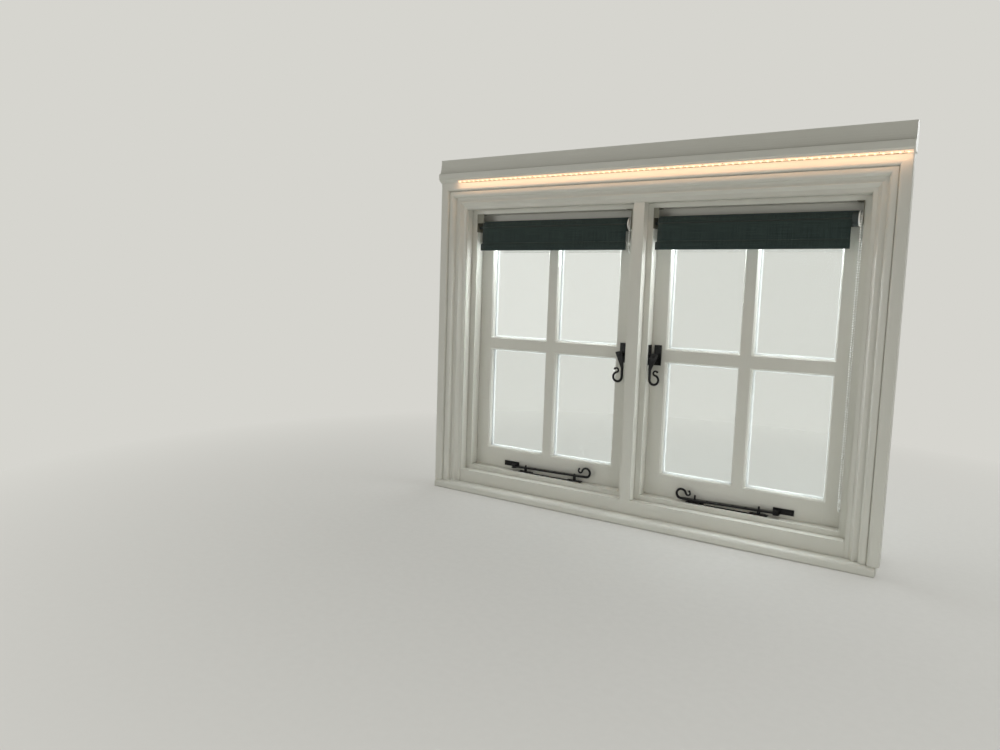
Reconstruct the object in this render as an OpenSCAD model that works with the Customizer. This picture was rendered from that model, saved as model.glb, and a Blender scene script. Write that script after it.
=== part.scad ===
// Twin casement window of a small timber hut, as fitted: frame, lining, moulded
// architrave, capping with a lamp tape, window board, two four-pane casements that
// open outwards, black curly-tail ironmongery and two roller blinds.
// +X runs along the wall, +Y goes outwards through the wall, +Z is up.
// The origin is on the plane of the lining's face, under the middle of the window board.

/* [Opening] */
// Clear width between the side linings
opening_w = 1140; // [1040:10:1400]
// Clear height from the sill band up to the head lining
opening_h = 817.5; // [760:2.5:1000]
// Depth of the lining, from its face to the face of the frame
lining_d = 28; // [24:1:40]
// Thickness of the side and head linings
lining_t = 12; // [9:1:18]
// Height of the band that closes the bottom of the opening
sill_band_h = 38.5; // [28:0.5:60]

/* [Frame] */
// Width of the frame's step that shows inside each side lining
step_side = 19; // [14:0.5:24]
// Height of the frame's step that shows under the head lining
step_head = 12.5; // [10:0.5:24]
// Height of the frame's step that shows above the sill band
step_sill = 14.2; // [12:0.2:20]
// Width of the step on each side of the mullion's cover
step_mullion = 16.5; // [14:0.5:24]
// Depth of the stop that the casements close against
stop_d = 32; // [32:1:40]
// Width of a frame jamb
jamb_w = 45; // [40:1:60]
// Height of the frame's head
head_h = 60; // [45:1:80]
// Width of the mullion's cover strip
cover_w = 31; // [24:1:40]
// How far a casement laps behind its stop
lap = 12; // [9:1:14]
// Gap round each casement in its rebate
casement_gap = 2; // [1.5:0.5:3]
// Fall of the sill's outer part, in degrees
sill_fall = 7; // [5:1:10]

/* [Casements] */
// Thickness of a casement
casement_t = 40; // [38:1:50]
// Width of a stile that shows inside the step
stile_w = 45; // [42:1:60]
// Height of the top rail that shows under the step
top_rail_h = 67; // [50:1:80]
// Height of the bottom rail that shows above the step
bottom_rail_h = 61.7; // [50:0.1:80]
// Width of the upright glazing bar
bar_w = 36; // [30:1:45]
// Height of the level glazing bar
cross_bar_h = 39; // [30:1:45]
// Chamfer round each pane, on the room side
chamfer = 4; // [2:0.5:6]
// Slope of the putty round each pane, on the outside
putty = 7; // [4:0.5:8]

/* [Glazing] */
// Thickness of one sheet of glass
glass_t = 4; // [3:0.5:5]
// Width of the gap between the two sheets
cavity = 6; // [4:1:8]
// Depth of wood in front of the glass, on the room side
glass_lip = 16; // [12:1:18]
// How far the wood covers the edge of the glass
glass_cover = 7; // [5:0.5:8]
// Clearance between the edge of the glass and the wood
glass_clear = 1; // [0.5:0.5:2]
// Width of the spacer between the sheets
spacer_w = 11; // [9:1:13]

/* [Architrave] */
// Overall width of the moulding
architrave_w = 78.5; // [76:0.5:92]
// Thickness of the moulding at its outer band
architrave_t = 30; // [28:1:36]
// Margin of lining that shows inside the architrave
margin = 2.5; // [1:0.5:8]
// Width of the flat outer band
band_w = 20; // [16:1:22]
// Width of the small round at the band's inner edge
round_w = 6.5; // [5:0.5:7]
// Width of the large bead
bead_w = 19.5; // [17:0.5:21]
// Width of the ridge beside the inner fillet
ridge_w = 16; // [14:1:17]
// Thickness of the flat inner fillet
fillet_t = 3; // [2.5:0.5:6]

/* [Capping] */
// Height of the capping above the architrave
capping_h = 67; // [50:1:80]
// How far the capping's face stands in front of the architrave
capping_lap = 12; // [10:1:20]
// How far the capping hangs down over the architrave's face
capping_drop = 2; // [1:0.5:8]
// Height of the capping's flat face
fascia_h = 17; // [12:1:24]
// How far the capping runs past each side of the architrave
capping_over = 2; // [0:1:10]
// Width of the lamp tape
tape_w = 8; // [5:1:10]
// Thickness of the lamp tape
tape_t = 1.2; // [0.8:0.2:2]
// Distance from the capping's left end to the start of the lamp tape
tape_start = 68; // [8:1:200]

/* [Window board and sill] */
// Thickness of the window board
board_t = 22; // [18:1:30]
// How far the window board stands out into the room
board_out = 40; // [34:1:90]
// How far the window board stops short of the architrave's outer edge
board_short = 7; // [0:1:20]
// How far the outside sill stands out from the frame
sill_out = 50; // [40:1:80]
// How far the outside sill runs past each side of the frame
sill_horn = 30; // [0:5:60]

/* [Fasteners] */
// Width of a fastener's plate
plate_w = 20; // [16:1:24]
// Height of a fastener's plate
plate_h = 56; // [44:1:64]
// Thickness of the plates of the ironmongery
plate_t = 3; // [2:0.5:3.5]
// Distance from the mullion's step to the fastener's plate
plate_inset = 10; // [9:1:12]
// How far the face of a fastener's handle stands out from the casement
handle_out = 30; // [28:1:38]
// Thickness of the handle's leaf
leaf_t = 5; // [4:0.5:6]
// Thickness of the rod that curls up in each tail
rod_d = 7.5; // [5:0.5:8]
// Radius of the large bend of a tail
tail_r = 13; // [11:1:15]
// Radius of the small bend of a tail
tip_r = 6; // [5:0.5:9]

/* [Stays] */
// Distance from the mullion's middle to the tail's end of a stay
stay_start = 154.5; // [120:0.5:170]
// Distance from the mullion's middle to a stay's pivot
stay_pivot = 398; // [360:1:430]
// Distance from the mullion's middle to the inner peg
peg_x = 184.5; // [175:0.5:195]
// Pitch of the holes in a stay
hole_pitch = 34.1; // [30:0.1:38]
// Width of a stay's bar
stay_w = 12; // [10:1:14]
// Thickness of a stay's bar
stay_t = 5; // [3:0.5:6]
// Height of a stay's underside above the frame's step, at its pivot
stay_lift = 11; // [10.5:0.1:14]
// Rise of the left stay from its pivot to its tail, in degrees
stay_rise_left = 1.1; // [0:0.1:1.4]
// Fall of the right stay from its pivot to its tail, in degrees
stay_fall_right = 1.4; // [0:0.1:1.7]
// Height of a peg above the frame's step
peg_h = 22.5; // [22:0.5:30]
// Diameter of a peg
peg_d = 5; // [4:0.5:5.5]

/* [Blinds] */
// Diameter of a blind's roll
roll_d = 38.5; // [28:0.5:40]
// Distance from the underside of the frame's head down to the roll's middle
roll_down = 40.5; // [32:0.5:48]
// Height of the blind's drop, from the roll's middle down to its foot
drop_h = 71.5; // [50:0.5:600]
// Height of the bar in the blind's foot
hem_h = 22; // [16:1:30]
// Thickness of the bar in the blind's foot
hem_t = 7; // [5:0.5:8]
// Thickness of the blind's fabric
fabric_t = 0.9; // [0.6:0.1:1.2]
// Distance from the frame to the left blind's fabric at the chain's end
chain_end_left = 12.5; // [12:0.5:30]
// Distance from the frame to the right blind's fabric at the chain's end
chain_end_right = 24.5; // [12:0.5:34]
// Distance from the frame to the left blind's fabric at the other end
idle_end_left = 25; // [9:0.5:30]
// Distance from the frame to the right blind's fabric at the other end
idle_end_right = 15.5; // [9:0.5:30]
// How far the bar in a blind's foot runs past the fabric at the end without a chain
hem_over = 4.5; // [0:0.5:6]
// Distance from the frame's step up to the foot of the right blind's chain loop
chain_foot = 48.3; // [24:0.1:300]
// Distance from the left blind's roll down to the foot of its short chain loop
chain_drop = 80; // [60:5:600]
// Thickness of the chain's beads
chain_d = 3; // [2:0.5:3.2]
// Radius of the chain loop at its two ends
chain_r = 15; // [10:0.5:16]
// Distance from the frame to the middle of the chain
chain_inset = 4.5; // [4:0.5:5]

/* [Hidden] */
$fn = 32;

paint = [0.86, 0.85, 0.79];
iron = [0.06, 0.06, 0.06];
slate = [0.16, 0.21, 0.21];
white = [0.92, 0.92, 0.90];
clear = [0.75, 0.85, 0.85, 0.4];
grey = [0.42, 0.42, 0.38];
glow = [1.0, 0.86, 0.62];

// Levels, from the underside of the window board upwards
band_top = board_t + sill_band_h;
soffit_z = band_top + opening_h;
step_bottom = band_top + step_sill;
step_top = soffit_z - step_head;
frame_top = step_top + head_h;

// Places across the wall, from the face of the lining outwards
frame_y = lining_d;
casement_y = frame_y + stop_d;
frame_back = casement_y + casement_t;
glass_y = casement_y + glass_lip;
glass_back = glass_y + 2 * glass_t + cavity;

// Places along the wall, from the middle of the mullion
opening_x = opening_w / 2;
step_x = opening_x - step_side;
mullion_x = cover_w / 2 + step_mullion;
web_x = mullion_x - lap;
frame_x = step_x + jamb_w;

// One casement: its edges, the edges of its glass and its four panes
casement_x0 = web_x + casement_gap;
casement_x1 = step_x + lap - casement_gap;
casement_z0 = step_bottom - lap + casement_gap;
casement_z1 = step_top + lap - casement_gap;
sight_x0 = mullion_x + stile_w;
sight_x1 = step_x - stile_w;
sight_z0 = step_bottom + bottom_rail_h;
sight_z1 = step_top - top_rail_h;
pane_w = (sight_x1 - sight_x0 - bar_w) / 2;
pane_h = (sight_z1 - sight_z0 - cross_bar_h) / 2;
cross_bar_z = sight_z0 + pane_h + cross_bar_h / 2;
PANES = [
    for (column = [0, 1])
        for (row = [0, 1])
            [sight_x0 + column * (pane_w + bar_w), sight_z0 + row * (pane_h + cross_bar_h)]
];

// Inner and outer corner of the mitred architrave
arch_in_x = opening_x + margin;
arch_in_z = soffit_z + margin;
arch_out_x = arch_in_x + architrave_w;
arch_out_z = arch_in_z + architrave_w;

sliver = 0.3;
mill = 1;

// A cross-section in Y and Z, run along X about the middle
module along_x(x0, x1) {
    translate([x0, 0, 0])
        rotate([90, 0, 90])
            linear_extrude(x1 - x0)
                children();
}

// An outline in X and Z, run through the wall from y0 to y1
module through(y0, y1) {
    translate([0, y1, 0])
        rotate([90, 0, 0])
            linear_extrude(y1 - y0)
                children();
}

// A plain board between two corners
module board(a, b) {
    translate(a)
        cube(b - a);
}

// The same piece on the left of the mullion (-1) or on its right (1)
module on_side(side) {
    mirror([side < 0 ? 1 : 0, 0, 0])
        children();
}

// Points of an arc from angle a to angle b, with its own radius along each axis
function arc(centre, rx, ry, a, b, steps = 8) = [
    for (i = [0:steps])
        let (angle = a + (b - a) * i / steps)
            [centre[0] + rx * cos(angle), centre[1] + ry * sin(angle)]
];

// Frame

// Top of the frame's sill at its rebate, and how far it falls to the outside
sill_rebate_z = step_bottom - lap;
sill_back_z = sill_rebate_z - casement_t * tan(sill_fall);

module frame_sill() {
    color(paint) {
        board([-step_x, frame_y, 0], [step_x, casement_y, step_bottom]);
        along_x(-step_x - lap, step_x + lap)
            polygon([
                [casement_y, 0], [frame_back, 0],
                [frame_back, sill_back_z], [casement_y, sill_rebate_z]
            ]);
    }
}

module frame_head() {
    color(paint) {
        board([-frame_x, frame_y, step_top], [frame_x, casement_y, frame_top]);
        board([-frame_x, casement_y, step_top + lap], [frame_x, frame_back, frame_top]);
    }
}

module frame_jamb(side) {
    color(paint)
        on_side(side) {
            board([step_x, frame_y, 0], [frame_x, casement_y, step_top]);
            board([step_x + lap, casement_y, 0], [frame_x, frame_back, step_top + lap]);
        }
}

module frame_mullion() {
    color(paint) {
        board([-mullion_x, frame_y, step_bottom], [mullion_x, casement_y, step_top]);
        along_x(-web_x, web_x)
            polygon([
                [casement_y, sill_rebate_z], [frame_back, sill_back_z],
                [frame_back, step_top + lap], [casement_y, step_top + lap]
            ]);
    }
}

module mullion_cover() {
    color(paint)
        board([-cover_w / 2, 0, band_top], [cover_w / 2, frame_y, soffit_z]);
}

// Lining

module lining_head() {
    color(paint)
        board([-opening_x - lining_t, 0, soffit_z], [opening_x + lining_t, frame_y, soffit_z + lining_t]);
}

module lining_sill() {
    color(paint)
        board([-opening_x, 0, board_t], [opening_x, frame_y, band_top]);
}

module lining_jamb(side) {
    color(paint)
        on_side(side)
            board([opening_x, 0, board_t], [opening_x + lining_t, frame_y, soffit_z]);
}

// Architrave: flat band, small round, quirk, large bead, flat, ridge and fillet, from its
// outer edge inwards

ease = 1.5;
round_low = architrave_t - 5;
quirk_low = architrave_t - 8.5;
flat_t = architrave_t - 19;
ridge_t = architrave_t - 16.5;
bead_start = band_w + round_w + mill;
bead_top = bead_start + bead_w * 0.51;
bead_end = bead_start + bead_w;
ridge_start = bead_end + 6;
ridge_top = ridge_start + ridge_w * 0.44;
ridge_end = ridge_start + ridge_w;

ARCHITRAVE = concat(
    [[0, 0], [0, architrave_t - ease], [ease, architrave_t]],
    arc([band_w, round_low], round_w, architrave_t - round_low, 90, 0, 6),
    arc([bead_top, quirk_low], bead_top - bead_start, round_low - quirk_low, 180, 90, 6),
    arc([bead_top, flat_t + mill], bead_end - bead_top, round_low - flat_t - mill, 84, 0, 8),
    [[ridge_start, flat_t], [ridge_top - mill, ridge_t - mill / 2], [ridge_top, ridge_t]],
    [[ridge_top + mill, ridge_t - mill / 2], [ridge_end, fillet_t + mill / 2]],
    [[ridge_end + mill, fillet_t], [architrave_w, fillet_t], [architrave_w, 0]]
);

module architrave_leg(side) {
    color(paint)
        on_side(side)
            intersection() {
                translate([0, 0, board_t])
                    linear_extrude(arch_out_z)
                        polygon([for (p = ARCHITRAVE) [arch_out_x - p[0], -p[1]]]);
                through(-2 * architrave_t, architrave_t)
                    polygon([
                        [arch_in_x, 0], [arch_out_x, 0],
                        [arch_out_x, arch_out_z], [arch_in_x, arch_in_z]
                    ]);
            }
}

module architrave_head() {
    color(paint)
        intersection() {
            along_x(-arch_out_x, arch_out_x)
                polygon([for (p = ARCHITRAVE) [-p[1], arch_out_z - p[0]]]);
            through(-2 * architrave_t, architrave_t)
                polygon([
                    [-arch_out_x, arch_out_z], [arch_out_x, arch_out_z],
                    [arch_in_x, arch_in_z], [-arch_in_x, arch_in_z]
                ]);
        }
}

// Capping: it laps over the architrave's top edge, and its slope carries the lamp tape

capping_x = arch_out_x + capping_over;
capping_front = architrave_t + capping_lap;
capping_top = arch_out_z + capping_h;
slope_low = [-architrave_t, arch_out_z - capping_drop];
slope_rise = 10.3;
slope_high = [-capping_front, slope_low[1] + slope_rise];
fascia_top = slope_high[1] + fascia_h;
scotia = 9;
tape_up = 0.5;

module capping() {
    color(paint)
        along_x(-capping_x, capping_x)
            polygon(concat(
                [[0, arch_out_z], [-architrave_t, arch_out_z], slope_low, slope_high],
                [[-capping_front, fascia_top - mill], [-capping_front + mill, fascia_top]],
                arc([-architrave_t - scotia, capping_top], scotia, capping_top - fascia_top, 270, 360, 8),
                [[0, capping_top]]
            ));
}

module lamp_tape() {
    run = slope_high - slope_low;
    along = run / norm(run);
    out = [-along[1], along[0]];
    low = slope_low + along * tape_up;
    high = low + along * tape_w;
    color(glow)
        along_x(tape_start - capping_x, capping_x - tape_w / 2)
            polygon([low, high, high + out * tape_t, low + out * tape_t]);
}

// Window board and outside sill

nosing = 8;
board_x = arch_out_x - board_short;

module window_board() {
    color(paint) {
        along_x(-board_x, board_x)
            polygon(concat(
                [[0, 0]],
                arc([-board_out + nosing / 2, nosing / 2], nosing / 2, nosing / 2, 270, 180, 4),
                arc([-board_out + nosing, board_t - nosing], nosing, nosing, 180, 90, 6),
                [[0, board_t]]
            ));
        board([-frame_x, 0, 0], [frame_x, frame_y, board_t]);
    }
}

drip = 5;

module outside_sill() {
    front_z = sill_back_z - sill_out * tan(sill_fall);
    end_x = frame_x + sill_horn;
    color(paint)
        along_x(-end_x, end_x)
            polygon(concat(
                [[frame_back, 0], [frame_back, sill_back_z]],
                arc([frame_back + sill_out - nosing, front_z - nosing], nosing, nosing, 80, 0, 6),
                [[frame_back + sill_out, 0]],
                [[frame_back + sill_out - 2 * drip, 0], [frame_back + sill_out - 2.5 * drip, drip]],
                [[frame_back + sill_out - 3.5 * drip, drip], [frame_back + sill_out - 4 * drip, 0]]
            ));
}

// Casements

// A block with sloping sides: a rectangle in X and Z at y0, grown by g at y1
module flare(x0, x1, z0, z1, y0, y1, g) {
    polyhedron(
        points = [
            [x0, y0, z0], [x1, y0, z0], [x1, y0, z1], [x0, y0, z1],
            [x0 - g, y1, z0 - g], [x1 + g, y1, z0 - g], [x1 + g, y1, z1 + g], [x0 - g, y1, z1 + g]
        ],
        faces = y1 > y0
            ? [[3, 2, 1, 0], [4, 5, 6, 7], [1, 5, 4, 0], [2, 6, 5, 1], [3, 7, 6, 2], [0, 4, 7, 3]]
            : [[0, 1, 2, 3], [7, 6, 5, 4], [0, 4, 5, 1], [1, 5, 6, 2], [2, 6, 7, 3], [3, 7, 4, 0]]
    );
}

// What each pane takes out of the wood: the daylight, two slopes and the glazing groove
module pane_cuts() {
    groove = glass_cover + glass_clear;
    for (p = PANES) {
        x0 = p[0];
        x1 = x0 + pane_w;
        z0 = p[1];
        z1 = z0 + pane_h;
        board([x0, casement_y - mill, z0], [x1, frame_back + mill, z1]);
        board([x0 - groove, glass_y, z0 - groove], [x1 + groove, glass_back, z1 + groove]);
        flare(x0, x1, z0, z1, casement_y + chamfer, casement_y - mill, chamfer + mill);
        flare(x0, x1, z0, z1, frame_back - putty, frame_back + mill, putty + mill);
    }
}

module casement_stiles(side) {
    color(paint)
        on_side(side)
            difference() {
                union() {
                    board([casement_x0, casement_y, casement_z0], [sight_x0, frame_back, casement_z1]);
                    board([sight_x1, casement_y, casement_z0], [casement_x1, frame_back, casement_z1]);
                }
                pane_cuts();
            }
}

module casement_rails(side) {
    color(paint)
        on_side(side)
            difference() {
                union() {
                    board([sight_x0, casement_y, casement_z0], [sight_x1, frame_back, sight_z0]);
                    board([sight_x0, casement_y, sight_z1], [sight_x1, frame_back, casement_z1]);
                }
                pane_cuts();
            }
}

module casement_bars(side) {
    bar_x0 = sight_x0 + pane_w;
    bar_z0 = sight_z0 + pane_h;
    color(paint)
        on_side(side)
            difference() {
                union() {
                    board([bar_x0, casement_y, sight_z0], [bar_x0 + bar_w, frame_back, sight_z1]);
                    board([sight_x0, casement_y, bar_z0], [bar_x0, frame_back, bar_z0 + cross_bar_h]);
                    board([bar_x0 + bar_w, casement_y, bar_z0], [sight_x1, frame_back, bar_z0 + cross_bar_h]);
                }
                pane_cuts();
            }
}

module casement_glass(side) {
    g = glass_cover;
    color(clear)
        on_side(side)
            for (p = PANES)
                for (y = [glass_y, glass_back - glass_t])
                    board([p[0] - g, y, p[1] - g], [p[0] + pane_w + g, y + glass_t, p[1] + pane_h + g]);
}

module glazing_spacers() {
    g = glass_cover;
    n = spacer_w - glass_cover;
    y0 = glass_y + glass_t;
    y1 = y0 + cavity;
    color(white)
        for (side = [-1, 1])
            on_side(side)
                for (p = PANES)
                    difference() {
                        board([p[0] - g, y0, p[1] - g], [p[0] + pane_w + g, y1, p[1] + pane_h + g]);
                        board([p[0] + n, y0 - mill, p[1] + n],
                              [p[0] + pane_w - n, y1 + mill, p[1] + pane_h - n]);
                    }
}

// Butt hinges: a leaf in the gap beside the casement, and a knuckle outside

hinge_h = 75;
hinge_r = 4.5;
hinge_from_end = 110;
leaf_deep = 30;

module hinges() {
    color(iron)
        for (side = [-1, 1])
            on_side(side)
                for (z = [casement_z0 + hinge_from_end, casement_z1 - hinge_from_end - hinge_h])
                    translate([casement_x1 + casement_gap / 2, 0, z]) {
                        board([-casement_gap / 2, frame_back - leaf_deep, 0],
                              [casement_gap / 2, frame_back + hinge_r, hinge_h]);
                        translate([0, frame_back + hinge_r, 0])
                            cylinder(r = hinge_r, h = hinge_h);
                    }
}

// A tail of round iron. It runs from x = -lead to 0, bends up in a large turn and back in a
// small one, thins on its way and ends in a round bulb. It lies in the plane of X and Z.

big_turn = 258;
small_turn = 200;
turn_step = 12;
tail_sides = 12;
bulb_r = 3.3;

// Places along the tail: X, Z, the way it heads, and the iron's radius there
function tail_path(lead) =
    let (
        rod_r = rod_d / 2,
        end = tail_r * [sin(big_turn), 1 - cos(big_turn)],
        centre = end + tip_r * [sin(big_turn), -cos(big_turn)],
        heading = big_turn - small_turn,
        tip = [centre[0] - tip_r * sin(heading), centre[1] + tip_r * cos(heading)],
        ahead = [cos(heading), sin(heading)]
    )
    concat(
        [[-lead, 0, 0, rod_r]],
        [for (t = [0:turn_step:big_turn - 1])
            [tail_r * sin(t), tail_r * (1 - cos(t)), t, rod_r * (1 - t / 1300)]],
        [for (t = [0:turn_step:small_turn])
            let (h = big_turn - t)
                [centre[0] - tip_r * sin(h), centre[1] + tip_r * cos(h), h, rod_r * (0.8 - t / 1200)]],
        [for (a = [-50:25:75])
            let (c = tip + ahead * bulb_r * (0.6 + sin(a)))
                [c[0], c[1], heading, bulb_r * cos(a)]]
    );

module tail(lead) {
    path = tail_path(lead);
    n = tail_sides;
    rings = len(path);
    polyhedron(
        points = [
            for (p = path)
                for (k = [0:n - 1])
                    let (a = 360 * k / n)
                        [p[0] - p[3] * cos(a) * sin(p[2]), p[3] * sin(a), p[1] + p[3] * cos(a) * cos(p[2])]
        ],
        faces = concat(
            [[for (k = [0:n - 1]) n - 1 - k]],
            [for (i = [0:rings - 2])
                for (k = [0:n - 1])
                    let (next = (k + 1) % n)
                        [i * n + k, i * n + next, (i + 1) * n + next, (i + 1) * n + k]],
            [[for (k = [0:n - 1]) (rings - 1) * n + k]]
        )
    );
}

// Fasteners, level with the cross bar: a plate on the stile, a handle that turns on it
// and a slotted keep on the side of the mullion

plate_x = mullion_x + plate_inset;
pivot_x = plate_x + plate_w * 0.4;
pivot_z = cross_bar_z - 3;
head_r = 8.5;
spindle_r = 5;
boss_r = 8;
boss_h = 5;
handle_y = casement_y - handle_out;
lobe_r = 2.5;
lobe_out = 10.5;
lobe_up = 4;
tail_x = pivot_x - 8.5;
shaft_z = pivot_z - 36;
loop_z = pivot_z - 64;
nose_t = 6;
nose_h = 10;
nose_y = casement_y - 16;
keep_t = 2;
keep_w = plate_w;
keep_y = casement_y - plate_t - keep_w;

module fastener_plate(side) {
    color(iron)
        on_side(side) {
            board([plate_x, casement_y - plate_t, cross_bar_z - plate_h / 2],
                  [plate_x + plate_w, casement_y, cross_bar_z + plate_h / 2]);
            translate([pivot_x, casement_y - plate_t, pivot_z])
                rotate([90, 0, 0])
                    cylinder(r = boss_r, h = boss_h);
        }
}

module fastener_handle(side) {
    spindle_end = casement_y - plate_t - boss_h - sliver;
    color(iron)
        on_side(side) {
            through(handle_y, handle_y + leaf_t)
                hull() {
                    translate([pivot_x, pivot_z])
                        circle(r = head_r);
                    translate([pivot_x + lobe_out, pivot_z + lobe_up])
                        circle(r = lobe_r);
                    translate([tail_x, shaft_z])
                        circle(d = rod_d);
                }
            translate([tail_x, handle_y + leaf_t / 2, loop_z])
                rotate([0, 90, 0])
                    tail(shaft_z - loop_z);
            translate([pivot_x, spindle_end, pivot_z])
                rotate([90, 0, 0])
                    cylinder(r = spindle_r, h = spindle_end - handle_y - leaf_t);
            board([mullion_x + keep_t / 2, nose_y, pivot_z - nose_h / 2],
                  [pivot_x, nose_y + nose_t, pivot_z + nose_h / 2]);
        }
}

module fastener_keeps() {
    slot = 1.5;
    color(iron)
        for (side = [-1, 1])
            on_side(side)
                difference() {
                    board([mullion_x, keep_y, cross_bar_z - plate_h / 2],
                          [mullion_x + keep_t, keep_y + keep_w, cross_bar_z + plate_h / 2]);
                    board([mullion_x - mill, nose_y - slot, pivot_z - nose_h / 2 - slot],
                          [mullion_x + keep_t + mill, nose_y + nose_t + slot, pivot_z + nose_h / 2 + slot]);
                }
}

// Peg stays: a bracket on the bottom rail, a bar with holes and a curled tail,
// and two pegs on the frame's step

stay_z = step_bottom + stay_lift;
stay_y = casement_y - 13;
curl_x = stay_start - 8;
curl_lead = 12;
bracket_w = 52;
bracket_end = 10.5;
bracket_h = 15;
bracket_low_z = stay_z - 1.3;
fork_t = 2.6;
fork_gap = 0.6;
eye_r = 8;
hole_d = peg_d + 1.5;
PEGS = [peg_x, peg_x + 5 * hole_pitch];

// How far a stay falls from its pivot to its tail, in degrees
function fall_of(side) = side < 0 ? -stay_rise_left : stay_fall_right;

// Height of a stay's underside above the frame's step at a distance from the mullion's middle
function lift_at(side, x) = stay_lift - (stay_pivot - x) * sin(fall_of(side));

module stay_bracket(side) {
    x0 = stay_pivot - bracket_end;
    color(iron)
        on_side(side) {
            board([x0, casement_y - plate_t, bracket_low_z],
                  [x0 + bracket_w, casement_y, bracket_low_z + bracket_h]);
            for (z = [stay_z - fork_t - fork_gap, stay_z + stay_t + fork_gap])
                translate([stay_pivot, stay_y, z])
                    linear_extrude(fork_t)
                        union() {
                            circle(r = eye_r);
                            translate([-eye_r, 0])
                                square([2 * eye_r, casement_y - stay_y]);
                        }
            translate([stay_pivot, stay_y, stay_z - fork_t - fork_gap])
                cylinder(d = peg_d, h = stay_t + 2 * fork_t + 2 * fork_gap);
        }
}

module stay_arm(side) {
    color(iron)
        on_side(side)
            translate([stay_pivot, stay_y, stay_z])
                rotate([0, -fall_of(side), 0]) {
                    linear_extrude(stay_t)
                        difference() {
                            union() {
                                translate([stay_start - stay_pivot, -stay_w / 2])
                                    square([stay_pivot - stay_start, stay_w]);
                                circle(r = stay_w / 2);
                            }
                            circle(d = hole_d);
                            for (i = [0:5])
                                translate([peg_x + i * hole_pitch - stay_pivot, 0])
                                    circle(d = hole_d);
                        }
                    translate([curl_x - stay_pivot, 0, stay_t / 2])
                        mirror([1, 0, 0])
                            tail(curl_lead);
                }
}

// The two pegs' seats are joined by a thin strip along their front edge
module stay_pegs() {
    seat_w = 46;
    seat_d = 14;
    seat_t = 3;
    strip_d = 3;
    collar = 4;
    color(iron)
        for (side = [-1, 1])
            on_side(side)
                translate([0, stay_y, step_bottom]) {
                    for (x = PEGS)
                        translate([x, 0, 0]) {
                            board([-seat_w / 2, -seat_d / 2, 0], [seat_w / 2, seat_d / 2, seat_t]);
                            cylinder(d = peg_d + collar, h = lift_at(side, x) - fork_gap);
                            cylinder(d = peg_d, h = peg_h);
                        }
                    board([PEGS[0], -seat_d / 2, 0], [PEGS[1], strip_d - seat_d / 2, seat_t - sliver]);
                }
}

// Roller blinds, one in front of each casement. Both have their chain at the right.
// Each has its span in the frame and the two ends of its fabric.

roll_r = roll_d / 2;
roll_z = step_top - roll_down;
roll_y = casement_y - roll_r - 1.25;
fabric_y = roll_y - roll_r - fabric_t;
fabric_z = roll_z - drop_h;
axle_r = 4;
clutch_r = roll_r - sliver;
bracket_t = 1.6;
bracket_d = 28;
bracket_low = roll_z - 14;
guard_x = 11;
guard_r = roll_r - sliver;
hub_r = chain_r - chain_d / 2 - sliver;
groove_w = chain_d + 1;
BLIND_LEFT = [-step_x, -mullion_x, -mullion_x - chain_end_left, -step_x + idle_end_left];
BLIND_RIGHT = [mullion_x, step_x, step_x - chain_end_right, mullion_x + idle_end_right];
FOOT_LEFT = roll_z - chain_drop;
FOOT_RIGHT = step_bottom + chain_foot;

// A round bar along X
module bar_x(x0, x1, r) {
    translate([x0, roll_y, roll_z])
        rotate([0, 90, 0])
            cylinder(r = r, h = x1 - x0);
}

module blind_roller(span) {
    color(slate) {
        bar_x(span[3], span[2], roll_r);
        bar_x(span[0] + bracket_t, span[3], axle_r);
        bar_x(span[2], span[1] - guard_x - sliver, clutch_r);
    }
}

module blind_fabric(span) {
    color(slate)
        board([span[3], fabric_y, fabric_z + hem_h + sliver],
              [span[2], fabric_y + fabric_t - sliver / 2, roll_z]);
}

module blind_hem_bar(span) {
    r = hem_t / 2;
    over = 0.5;
    middle_y = fabric_y + fabric_t / 2;
    color(slate)
        along_x(span[3] - hem_over, span[2] + over) {
            translate([middle_y, fabric_z + r])
                circle(r = r);
            translate([middle_y, fabric_z + hem_h - r])
                circle(r = r);
            translate([middle_y - r, fabric_z + r])
                square([2 * r, hem_h - 2 * r]);
        }
}

module blind_chain(span, foot_z) {
    color(white)
        translate([span[1] - chain_inset, roll_y, 0]) {
            for (y = [-chain_r, chain_r])
                translate([0, y, foot_z + chain_r])
                    cylinder(d = chain_d, h = roll_z - foot_z - chain_r);
            for (end = [[roll_z, 0], [foot_z + chain_r, 180]])
                translate([0, 0, end[0]])
                    rotate([end[1], 0, 0])
                        rotate([90, 0, 90])
                            rotate_extrude(angle = 180)
                                translate([chain_r, 0])
                                    circle(d = chain_d);
        }
}

// Each bracket is an angle of thin metal: an upright on the frame and a foot under its head.
// The one at the end without a chain also has a web that faces the room, beside the roll.
module blind_brackets() {
    foot = 17;
    web_h = 27;
    web_gap = 0.8;
    color(grey)
        for (span = [BLIND_LEFT, BLIND_RIGHT])
            for (end = [0, 1])
                translate([span[end], roll_y, 0])
                    mirror([end, 0, 0]) {
                        board([0, -bracket_d / 2, bracket_low], [bracket_t, bracket_d / 2, step_top]);
                        board([0, -bracket_d / 2, step_top - bracket_t], [foot, bracket_d / 2, step_top]);
                        if (end == 0)
                            board([0, -bracket_d / 2, step_top - web_h],
                                  [span[3] - span[0] - web_gap, bracket_t - bracket_d / 2, step_top]);
                    }
}

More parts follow.
